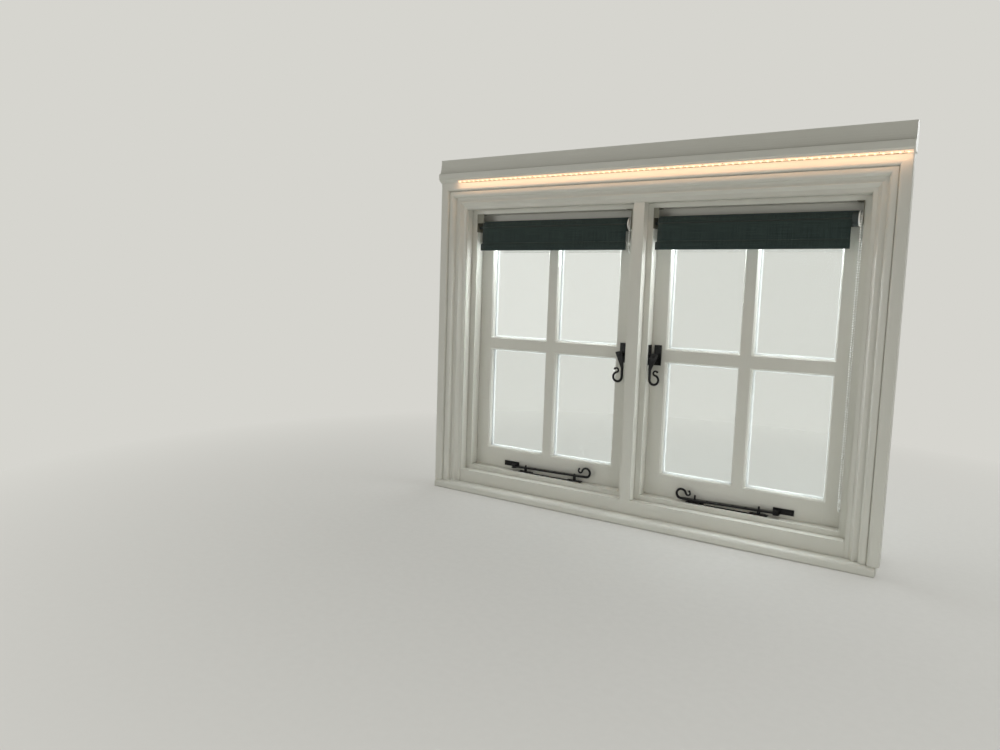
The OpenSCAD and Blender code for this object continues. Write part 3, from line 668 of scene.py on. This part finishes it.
def spots_piece(name, item, spots, material, seed):
    mesh = run_tree(ITEMS_ON_SPOTS, name, spots_mesh(name + "_spots", spots),
                    {"Item": item, "Seed": seed, "Finish": material})
    as_piece(name, mesh, [material])


# ---- Screws ----------------------------------------------------------------------------------

def screw_head(name, radius, dome, slot_width):
    """A slotted round head that stands on its own plane, with its slot cut through the dome."""
    bm = bmesh.new()
    steps, rings = 24, 5
    half_slot = slot_width / 2
    levels = []
    for ring in range(rings + 1):
        tilt = math.pi / 2 * ring / rings
        r, z = radius * math.cos(tilt), dome * math.sin(tilt)
        levels.append([bm.verts.new((r * math.cos(math.tau * k / steps),
                                     r * math.sin(math.tau * k / steps), z))
                       for k in range(steps if ring < rings else 1)])
    for low, high in zip(levels, levels[1:]):
        for k in range(steps):
            after = (k + 1) % steps
            top = (high[after], high[k]) if len(high) > 1 else (high[0],)
            bm.faces.new((low[k], low[after], *top))
    for edge_y in (half_slot, -half_slot):
        bmesh.ops.bisect_plane(bm, geom=bm.verts[:] + bm.edges[:] + bm.faces[:],
                               plane_co=(0, edge_y, 0), plane_no=(0, 1, 0))
    slot = [f for f in bm.faces if all(abs(v.co.y) <= half_slot + 1e-6 for v in f.verts)]
    sunk = bmesh.ops.extrude_face_region(bm, geom=slot)
    for vert in (g for g in sunk["geom"] if isinstance(g, bmesh.types.BMVert)):
        vert.co.z = min(vert.co.z, dome * 0.35)
    bmesh.ops.delete(bm, geom=slot, context="FACES")
    return item_object(name, bm, 30)


IRON_SCREW = screw_head("iron_screw_item", 3.3 * MM, 1.5 * MM, 0.9 * MM)
SMALL_SCREW = screw_head("small_screw_item", 2.4 * MM, 1.0 * MM, 0.7 * MM)

# The faces that the screws stand on, and where on them; X is mirrored for the left casement
PLATE_FRONT_Y = 0.057
PLATE_MIDDLE_Z = 0.46745
PLATE_SCREW_X = 0.052
PLATE_SCREW_RISES = (-0.0205, 0.0205)
KEEP_FACE_X = 0.034
SEAT_MIDDLE_Y = 0.047
SEAT_TOP_Z = 0.0777
STAY_SCREWS_X = (0.4165, 0.4325)
STAY_SCREW_Z = 0.0919
PEGS_X = (0.1845, 0.355)
PEG_SCREW_SHIFTS = (-0.016, 0.016)
BRACKET_FOOT_Z = 0.8639
BRACKET_SCREW_INSET = 0.011
BRACKET_SCREW_SHIFTS = (-0.009, 0.009)

PLATE_SCREWS = [((sign * PLATE_SCREW_X, PLATE_FRONT_Y, PLATE_MIDDLE_Z + rise), (0, -1, 0))
                for sign in SIDES.values() for rise in PLATE_SCREW_RISES]
KEEP_SCREWS = [((sign * KEEP_FACE_X, SEAT_MIDDLE_Y, PLATE_MIDDLE_Z + rise), (sign, 0, 0))
               for sign in SIDES.values() for rise in PLATE_SCREW_RISES]
STAY_SCREWS = [((sign * x, PLATE_FRONT_Y, STAY_SCREW_Z), (0, -1, 0))
               for sign in SIDES.values() for x in STAY_SCREWS_X]
PEG_SCREWS = [((sign * (peg + shift), SEAT_MIDDLE_Y, SEAT_TOP_Z), (0, 0, 1))
              for sign in SIDES.values() for peg in PEGS_X for shift in PEG_SCREW_SHIFTS]
BRACKET_SCREWS = [((span[end] + inward * BRACKET_SCREW_INSET, ROLL_Y + shift, BRACKET_FOOT_Z),
                   (0, 0, -1))
                  for span in BLIND_SPANS.values() for end, inward in ((0, 1), (1, -1))
                  for shift in BRACKET_SCREW_SHIFTS]
spots_piece("iron_screws", IRON_SCREW, PLATE_SCREWS + STAY_SCREWS + PEG_SCREWS, IRON,
            seed=3)
spots_piece("keep_screws", SMALL_SCREW, KEEP_SCREWS, IRON, seed=5)
spots_piece("bracket_screws", SMALL_SCREW, BRACKET_SCREWS, BRACKET, seed=8)


# ---- Forged ironmongery ----------------------------------------------------------------------

def forged_piece(name, node, bevel):
    """The node's own form with its triangles joined, its flats made whole and its edges eased."""
    bm = bmesh.new()
    bm.from_mesh(NODES[node].data)
    bmesh.ops.remove_doubles(bm, verts=bm.verts, dist=0.01 * MM)
    bmesh.ops.dissolve_limit(bm, angle_limit=math.radians(1), verts=bm.verts, edges=bm.edges)
    piece = built_piece(bm, name, 38, [IRON], [node])
    eased = piece.modifiers.new("eased_edges", "BEVEL")
    eased.width = bevel
    eased.segments = 2
    eased.limit_method = "ANGLE"
    eased.angle_limit = math.radians(50)


for side in SIDES:
    forged_piece(f"forged_handle_{side}", f"fastener_handle_{side}", 0.7 * MM)
    forged_piece(f"forged_stay_{side}", f"stay_arm_{side}", 0.5 * MM)

PIVOT_X = 0.050
PIVOT_Z = 0.46445
HANDLE_FACE_Y = 0.030


def pivot_caps():
    """The riveted ends of the spindles, on the handles' faces."""
    bm = bmesh.new()
    profile = [(0.0, 4.6), (0.9, 4.4), (1.6, 3.4), (2.0, 1.8)]
    for sign in SIDES.values():
        add_turning(bm, ALONG_Y, (sign * PIVOT_X, PIVOT_Z),
                    [(HANDLE_FACE_Y - out * MM, radius * MM) for out, radius in profile], 24)
    built_piece(bm, "pivot_caps", 50, [IRON])


pivot_caps()


# ---- Hinges ----------------------------------------------------------------------------------

HINGE_X = 0.562
HINGE_Y = 0.1045
HINGE_LEAF_Y = 0.07
HINGE_LOWS = (0.1747, 0.6905)
HINGE_HEIGHT = 0.075
KNUCKLES = 5
KNUCKLE_GAP = 0.15 * MM
HINGE_STEPS = 28


def butt_hinges():
    """Knuckles on a pin, and the leaf that goes into the gap, four times."""
    bm = bmesh.new()
    knuckle = HINGE_HEIGHT / KNUCKLES
    for sign in SIDES.values():
        for low in HINGE_LOWS:
            x, high = sign * HINGE_X, low + HINGE_HEIGHT
            for k in range(KNUCKLES):
                z0 = low + k * knuckle + KNUCKLE_GAP
                z1 = low + (k + 1) * knuckle - KNUCKLE_GAP
                profile = [(z0, 4.1), (z0 + 0.4 * MM, 4.5), (z1 - 0.4 * MM, 4.5), (z1, 4.1)]
                add_turning(bm, ALONG_Z, (x, HINGE_Y), [(z, r * MM) for z, r in profile],
                            HINGE_STEPS)
            pin = [(low + 0.01 * MM, 2.6 * MM), (high - 0.01 * MM, 2.6 * MM)]
            add_turning(bm, ALONG_Z, (x, HINGE_Y), pin, HINGE_STEPS)
            add_block(bm, (x - 1 * MM, HINGE_LEAF_Y, low + 0.2 * MM),
                      (x + 1 * MM, HINGE_Y, high - 0.2 * MM), 0.3 * MM)
    built_piece(bm, "butt_hinges", 35, [IRON], ["hinges"])


butt_hinges()


# ---- Glazing ---------------------------------------------------------------------------------

# The edges of the eight panes as they show: across (the left casement's are mirrored) and upright
PANE_SPANS_X = [(0.0770, 0.2735), (0.3095, 0.5060)]
PANE_SPANS_Z = [(0.13640, 0.44795), (0.48695, 0.79850)]
PANES = [(span_x, span_z) for span_x in PANE_SPANS_X for span_z in PANE_SPANS_Z]


def spacer_rings():
    """The bars between the sheets of glass: a ring round each pane, seen as a white line."""
    bm = bmesh.new()
    outside, inside = 6.8 * MM, 4.0 * MM
    section = [(-outside, 80.2), (-outside, 85.8), (inside - 0.6 * MM, 85.8), (inside, 85.2),
               (inside, 80.8), (inside - 0.6 * MM, 80.2)]
    for sign in SIDES.values():
        for (x0, x1), (z0, z1) in PANES:
            rings = []
            for inset, y in section:
                corners = [(x0 + inset, z0 + inset), (x1 - inset, z0 + inset),
                           (x1 - inset, z1 - inset), (x0 + inset, z1 - inset)]
                rings.append([bm.verts.new((sign * x, y * MM, z)) for x, z in corners])
            join_rings(bm, rings + rings[:1], capped=False)
    built_piece(bm, "spacer_rings", 50, [SPACER], ["glazing_spacers"])


spacer_rings()


# ---- Lamp tape -------------------------------------------------------------------------------

TAPE_ALONG = Vector((0.0, -0.7588, 0.6513))
TAPE_OUT = Vector((0.0, -0.6513, -0.7588))
TAPE_MIDDLE = Vector((0.0, -0.033415, 0.95993))
TAPE_START = -0.585
TAPE_END = 0.649
TAPE_HALF_THICK = 1.2 * MM
LAMP_PITCH = 1 / 60
FIRST_LAMP = 8 * MM
TAPE_ROWS = [
    # Each row's name, its item's name, and the item's width along X, breadth across the tape,
    # height, lift and bevel in mm; then its first place, its pitch, its shift across, its finish
    ("lamp_bodies", "lamp_body_item", (5.0, 3.4, 0.7, 0, 0.2),
     FIRST_LAMP, LAMP_PITCH, 0, LAMP_STRIP),
    ("solder_pads", "solder_pad_item", (11.5, 1.6, 0.25, 0, 0.08),
     FIRST_LAMP + LAMP_PITCH / 2, LAMP_PITCH, -4.1 * MM, SOLDER_PAD),
    ("lamp_windows", "lamp_window_item", (4.2, 2.6, 0.25, 0.6, 0.1),
     FIRST_LAMP, LAMP_PITCH, 0, LAMP_PHOSPHOR),
    ("tape_resistors", "resistor_item", (2.0, 1.3, 0.5, 0, 0.1),
     16.3 * MM, 3 * LAMP_PITCH, 1.5 * MM, DARK_PLASTIC),
]


def tape_item(name, sizes):
    """A small block that lies on the tape."""
    width, breadth, height, lift, bevel = (size * MM for size in sizes)
    bm = bmesh.new()
    add_block(bm, (-width / 2, -breadth / 2, lift), (width / 2, breadth / 2, lift + height), bevel)
    turn = Matrix((Vector((1, 0, 0)), TAPE_ALONG, TAPE_OUT)).transposed()
    for vert in bm.verts:
        vert.co = turn @ vert.co
    return item_object(name, bm)


for name, item_name, sizes, first, pitch, shift, finish in TAPE_ROWS:
    start = TAPE_MIDDLE + TAPE_ALONG * shift + TAPE_OUT * TAPE_HALF_THICK
    count = int((TAPE_END - TAPE_START - first - 4 * MM) / pitch)
    x0 = TAPE_START + first
    row_piece(name, tape_item(item_name, sizes),
              [(x0, start.y, start.z), (x0 + count * pitch, start.y, start.z)],
              pitch, finish)


# ---- Roller blinds ---------------------------------------------------------------------------

def cloth_path():
    """The cloth's way in Y and Z: off the tube, down, round the bar and up to its seam."""
    path = []
    turns = (ROLL_RADIUS - TUBE_RADIUS) / CLOTH_PITCH
    steps = int(turns * 40)
    for k in range(steps + 1):
        angle = math.pi + math.tau * turns * (k / steps - 1)
        radius = TUBE_RADIUS + (ROLL_RADIUS - TUBE_RADIUS) * k / steps
        path.append((ROLL_Y + radius * math.cos(angle), ROLL_Z - radius * math.sin(angle)))
    half = 3.2 * MM
    hem_middle = (HEM_TOP + HEM_LOW) / 2
    path += [(CLOTH_FRONT_Y, ROLL_Z + (HEM_TOP + 2 * MM - ROLL_Z) * k / 12) for k in range(1, 13)]
    path += [(CLOTH_FRONT_Y - 0.2 * MM, HEM_TOP + 0.6 * MM),
             (FOOT_BAR_Y - half * 0.7, HEM_TOP - 1.2 * MM),
             (FOOT_BAR_Y - half, HEM_TOP - 3.2 * MM), (FOOT_BAR_Y - half, hem_middle)]
    for k in range(11):
        angle = math.pi + math.pi * k / 10
        path.append((FOOT_BAR_Y + half * math.cos(angle),
                     HEM_LOW + half + 0.3 * MM + half * math.sin(angle)))
    path += [(FOOT_BAR_Y + half, hem_middle), (FOOT_BAR_Y + half, HEM_TOP - 3.2 * MM),
             (FOOT_BAR_Y + half * 0.8, HEM_TOP - 1.2 * MM),
             (CLOTH_FRONT_Y + 0.7 * MM, HEM_TOP + 0.6 * MM),
             (CLOTH_FRONT_Y + 0.6 * MM, HEM_TOP + 4 * MM)]
    return path


def cloth_sheet(side):
    """One sheet of woven cloth, with a UV map in metres: across its width and along its length."""
    path = cloth_path()
    x0, x1 = CLOTH_ENDS[side]
    columns = 28
    lengths = [0.0]
    for one, two in zip(path, path[1:]):
        lengths.append(lengths[-1] + math.dist(one, two))
    bm = bmesh.new()
    uv_layer = bm.loops.layers.uv.new("UVMap")
    grid, flat = [], {}
    for (y, z), length in zip(path, lengths):
        hang = 0.0
        if y < CLOTH_FRONT_Y + MM:
            hang = max(0.0, min(1.0, (ROLL_Z - z) / (ROLL_Z - HEM_TOP)))
        row = []
        for column in range(columns + 1):
            x = x0 + (x1 - x0) * column / columns
            ripple = 0.22 * MM * math.sin(23 * x + 1.7) * math.sin(math.pi * hang)
            vert = bm.verts.new((x, y + ripple, z))
            flat[vert] = (x - x0, length)
            row.append(vert)
        grid.append(row)
    for one, two in zip(grid, grid[1:]):
        for k in range(columns):
            face = bm.faces.new((one[k], one[k + 1], two[k + 1], two[k]))
            for loop in face.loops:
                loop[uv_layer].uv = flat[loop.vert]
    mesh = plain_mesh(bm, f"blind_cloth_{side}")
    mesh.shade_smooth()
    piece = as_piece(f"blind_cloth_{side}", mesh, [CLOTH],
                     [f"blind_{side}_fabric"])
    wall = piece.modifiers.new("cloth_thickness", "SOLIDIFY")
    wall.thickness = CLOTH_THICK
    wall.offset = 0.0
    return piece, (x1 - x0, lengths[-1])


def blind_tube(side, span):
    """The tube inside the wound cloth, its plug and pin at one end and the clutch at the other."""
    bm = bmesh.new()
    x0, x1 = CLOTH_ENDS[side]
    tube = TUBE_RADIUS - 0.3 * MM
    bore = tube - 1.2 * MM
    add_turning(bm, ALONG_X, (ROLL_Y, ROLL_Z),
                [(x0 + 0.6 * MM, bore), (x0 + 0.6 * MM, tube), (x1 - 0.2 * MM, tube),
                 (x1 - 0.2 * MM, bore)], material=1)
    plug = [(span[0] + 1.7 * MM, 3.4), (span[0] + 2.1 * MM, 4.0), (x0 - 3.2 * MM, 4.0),
            (x0 - 3.0 * MM, 12.2), (x0 - 2.5 * MM, 12.8), (x0 + 1.2 * MM, 12.8),
            (x0 + 1.2 * MM, 8.0)]
    end = span[1] - 11.3 * MM
    clutch = [(x1 + 0.15 * MM, 12.0), (x1 + 0.15 * MM, 18.2), (x1 + 0.6 * MM, 18.8),
              (end - 0.5 * MM, 18.8), (end, 18.2), (end, 6.0)]
    for profile, steps in ((plug, 40), (clutch, 64)):
        add_turning(bm, ALONG_X, (ROLL_Y, ROLL_Z), [(x, r * MM) for x, r in profile], steps)
    return built_piece(bm, f"blind_tube_{side}", 40, [DARK_PLASTIC, BRACKET],
                       [f"blind_{side}_roller"])


def foot_bar(side):
    """The flat bar in the hem, with a moulded cap at each end that shows beside the cloth."""
    bm = bmesh.new()
    x0, x1 = CLOTH_ENDS[side]
    add_block(bm, (x0 + MM, FOOT_BAR_Y - 2.7 * MM, HEM_LOW + 0.9 * MM),
              (x1 - MM, FOOT_BAR_Y + 2.7 * MM, HEM_TOP - 1.4 * MM), 1.6 * MM, 1)
    for a, b in ((x0 - 4.5 * MM, x0 + 1.5 * MM), (x1 - 1.5 * MM, x1 + 0.5 * MM)):
        add_block(bm, (a, FOOT_BAR_Y - 3.4 * MM, HEM_LOW + 0.1 * MM),
                  (b, FOOT_BAR_Y + 3.4 * MM, HEM_TOP - 0.5 * MM), 1.4 * MM)
    return built_piece(bm, f"blind_foot_bar_{side}", 40, [DARK_PLASTIC, BRACKET],
                       [f"blind_{side}_hem_bar"])


def stitch_item():
    """One stitch: a bead drawn out along X."""
    bm = bmesh.new()
    bmesh.ops.create_uvsphere(bm, u_segments=8, v_segments=6, radius=1.0)
    for vert in bm.verts:
        vert.co = Vector((vert.co.z * 1.25 * MM, vert.co.y * 0.24 * MM, vert.co.x * 0.24 * MM))
    return item_object("stitch_item", bm, 60)


STITCH = stitch_item()


def hem_stitches(side):
    """The row of stitches over the foot bar."""
    y = CLOTH_FRONT_Y - 0.45 * MM
    z = HEM_TOP + 1.2 * MM
    x0, x1 = CLOTH_ENDS[side]
    run = [(x0 + 2.5 * MM, y, z), (x1 - 2.5 * MM, y, z)]
    return row_piece(f"hem_stitches_{side}", STITCH, run, 3.4 * MM, THREAD)


for side, span in BLIND_SPANS.items():
    tube = blind_tube(side, span)
    bar = foot_bar(side)
    stitches = hem_stitches(side)
    cloth, flat_size = cloth_sheet(side)


# ---- Bead chains and their wheels ------------------------------------------------------------

def bead_item():
    bm = bmesh.new()
    bmesh.ops.create_uvsphere(bm, u_segments=12, v_segments=8, radius=2.1 * MM)
    return item_object("bead_item", bm, 60)


def chain_loop(side, span):
    """The loop's points: over the wheel, down the front, round its foot and up the back."""
    x = span[1] - CHAIN_INSET
    foot = CHAIN_FEET[side] + CHAIN_RADIUS
    points = []
    for turn, middle, goal in ((0, ROLL_Z, foot), (math.pi, foot, ROLL_Z)):
        for k in range(25):
            angle = turn + math.pi * k / 24
            points.append((x, ROLL_Y + CHAIN_RADIUS * math.cos(angle),
                           middle + CHAIN_RADIUS * math.sin(angle)))
        y = ROLL_Y - CHAIN_RADIUS * math.cos(turn)
        points += [(x, y, middle + (goal - middle) * k / 40) for k in range(1, 40)]
    return points + points[:1]


BEAD = bead_item()
for side, span in BLIND_SPANS.items():
    row_piece(f"bead_chain_{side}", BEAD, chain_loop(side, span), 6 * MM, WHITE_PLASTIC,
              cord_radius=0.6 * MM, stands_for=[f"blind_{side}_chain"])

RIM_RADIUS = 18.8 * MM
HUB_RADIUS = 12.8 * MM
HALF_GROOVE = 2.2 * MM
CLEAT_HALF_WIDTH = 0.009
CLEAT_HEIGHT = 0.026
HOOK_HALF_WIDTH = 0.005
HOOK_RISES = (0.004, 0.012)


def chain_wheels():
    """The guarded wheel at each blind's end, and the cleat that holds the foot of its chain."""
    bm = bmesh.new()
    for side, span in BLIND_SPANS.items():
        edge = span[1]
        inner, outer = edge - CHAIN_INSET - HALF_GROOVE, edge - CHAIN_INSET + HALF_GROOVE
        low_rim = RIM_RADIUS - 0.4 * MM
        profile = [(edge - 11.0 * MM, 12.0 * MM), (edge - 11.0 * MM, RIM_RADIUS - 1.0 * MM),
                   (edge - 10.0 * MM, RIM_RADIUS), (inner - 0.5 * MM, RIM_RADIUS),
                   (inner, RIM_RADIUS - 0.5 * MM), (inner, HUB_RADIUS), (outer, HUB_RADIUS),
                   (outer, low_rim), (edge - 1.7 * MM, low_rim), (edge - 1.6 * MM, 6 * MM)]
        add_turning(bm, ALONG_X, (ROLL_Y, ROLL_Z), profile, 64)
        cleat = CHAIN_FEET[side] + CHAIN_RADIUS
        add_block(bm, (edge - 2 * MM, ROLL_Y - CLEAT_HALF_WIDTH, cleat),
                  (edge, ROLL_Y + CLEAT_HALF_WIDTH, cleat + CLEAT_HEIGHT), 0.6 * MM)
        add_block(bm, (edge - 7.5 * MM, ROLL_Y - HOOK_HALF_WIDTH, cleat + HOOK_RISES[0]),
                  (edge - 1.6 * MM, ROLL_Y + HOOK_HALF_WIDTH, cleat + HOOK_RISES[1]), 1.0 * MM)
    built_piece(bm, "chain_wheels", 35, [WHITE_PLASTIC], ["chain_guides"])


chain_wheels()

for item in ITEMS:
    bpy.data.objects.remove(item)


# ---- Floor, light and camera -----------------------------------------------------------------

BACKDROP = srgb(214, 213, 207)


def pale_floor():
    """A plain pale floor that fades into the backdrop, so that no edge shows behind the window."""
    bm = bmesh.new()
    bmesh.ops.create_circle(bm, cap_ends=True, segments=96, radius=14.0)
    floor = put("floor", mesh_from(bm, "floor"))
    material, w, shader, place = new_finish("pale_floor")
    floor.data.materials.append(material)
    fine = w.noise(place["Object"], 60.0, 3.0)
    far = w.add("ShaderNodeVectorMath", {0: place["Object"]}, operation="LENGTH").outputs["Value"]
    seen = w.seen()
    pale = w.blend(w.remap(fine, 0.3, 0.7), srgb(176, 175, 170), srgb(182, 181, 176))
    w.feed(shader, {"Base Color": w.blend(seen, srgb(228, 228, 224), pale),
                    "Roughness": 0.85, "Specular IOR Level": 0.2})
    nodes = material.node_tree.nodes
    fade = w.times(w.remap(far, 0.3, 2.0, 0.35, 1.0), seen)
    glow = w.first("ShaderNodeEmission", {"Color": BACKDROP, "Strength": 1.0})
    both = w.first("ShaderNodeMixShader",
                   {0: fade, 1: nodes["Principled BSDF"].outputs[0], 2: glow})
    w.feed(nodes["Material Output"].inputs, {"Surface": both})


def sky_light():
    """The backdrop that is seen, and a soft light from all round that isn't."""
    world = bpy.data.worlds.new("soft_room")
    bpy.context.scene.world = world
    world.use_nodes = True
    world.node_tree.nodes.clear()
    w = Wiring(world.node_tree)
    way = w.add("ShaderNodeTexCoord").outputs["Generated"]
    height = w.add("ShaderNodeSeparateXYZ", {0: way}).outputs["Z"]
    ambient = w.blend(w.remap(height, 0.0, 0.8),
                      (0.29, 0.29, 0.286, 1), (0.19, 0.182, 0.158, 1))
    soft = w.first("ShaderNodeBackground", {"Color": ambient, "Strength": 1.0})
    plain = w.first("ShaderNodeBackground", {"Color": BACKDROP, "Strength": 1.0})
    both = w.first("ShaderNodeMixShader", {0: w.seen(), 1: soft, 2: plain})
    w.add("ShaderNodeOutputWorld", {"Surface": both})


def soft_box(name, place, aim, size, power, colour, reflected=True):
    """An area lamp that looks at a point and isn't seen itself. power is in watts."""
    data = bpy.data.lights.new(name, "AREA")
    data.shape = "RECTANGLE"
    data.size, data.size_y = size
    data.energy = power
    data.color = colour
    lamp = put(name, data)
    lamp.location = place
    lamp.rotation_euler = (Vector(aim) - Vector(place)).to_track_quat("-Z", "Y").to_euler()
    lamp.visible_camera = False
    lamp.visible_transmission = False
    lamp.visible_glossy = reflected


DAYLIGHT = (0.93, 0.97, 1.0)
PANE_LIGHT = (0.89, 0.955, 1.0)
PANE_LIGHT_Y = 0.079
SKY_SHARE_X = 0.2915

pale_floor()
sky_light()
soft_box("daylight", (0.1, 1.0, 1.6), (0.0, 0.05, 0.35), (2.4, 1.4), 37, DAYLIGHT)
for sign in SIDES.values():
    # The light that the panes let in, given off in the glass so that the outside isn't overlit
    for (x0, x1), (z0, z1) in PANES:
        x, z = sign * (x0 + x1) / 2, (z0 + z1) / 2
        soft_box("pane_light", (x, PANE_LIGHT_Y, z), (x, 0.0, z),
                 (x1 - x0 - 2 * MM, z1 - z0 - 2 * MM), 0.8, PANE_LIGHT)
    # The sky's share, which falls steeply from behind the blind on the edges that look up
    soft_box("sky_share", (sign * SKY_SHARE_X, 0.072, 0.785), (sign * SKY_SHARE_X, 0.02, 0.1),
             (0.42, 0.03), 1.5, PANE_LIGHT, reflected=False)
soft_box("room_light", (-1.9, -2.5, 0.9), (0.0, 0.0, 0.3), (1.8, 1.2), 12, (0.995, 1.0, 0.985))
soft_box("side_light", (1.9, -1.4, 0.05), (0.5, 0.0, 0.1), (1.0, 0.7), 11, (1.0, 0.995, 0.985))

# The tape's light: straight out from the lamps, and spread on the moulding under them
tape_x = (TAPE_START + TAPE_END) / 2
tape_size = (TAPE_END - TAPE_START, 5 * MM)
lamp_front = TAPE_MIDDLE + TAPE_OUT * 2.5 * MM
soft_box("tape_glow", (tape_x, lamp_front.y, lamp_front.z),
         (tape_x, lamp_front.y + TAPE_OUT.y, lamp_front.z + TAPE_OUT.z),
         tape_size, 0.18, (1.0, 0.62, 0.34))
soft_box("tape_spread", (tape_x, -0.047, 0.953), (tape_x, -0.024, 0.932),
         tape_size, 0.175, (1.0, 0.57, 0.33), reflected=False)

# The photograph's own view, in millimetres for the lens and metres for the place
camera_data = bpy.data.cameras.new("camera")
camera_data.lens = 27.48
camera_data.sensor_width = 36.0
camera = put("camera", camera_data)
VIEW_RIGHT = Vector((0.8304, 0.5561, 0.0327))
VIEW_UP = Vector((-0.0855, 0.0693, 0.9939))
VIEW_BACK = Vector((0.5505, -0.8282, 0.1052))
VIEW_FROM = (0.8565, -1.937, 0.621)
turned = Matrix((VIEW_RIGHT, VIEW_UP, VIEW_BACK)).transposed().to_4x4()
camera.matrix_world = Matrix.Translation(VIEW_FROM) @ turned
bpy.context.scene.camera = camera
bpy.context.scene.view_settings.view_transform = "Standard"
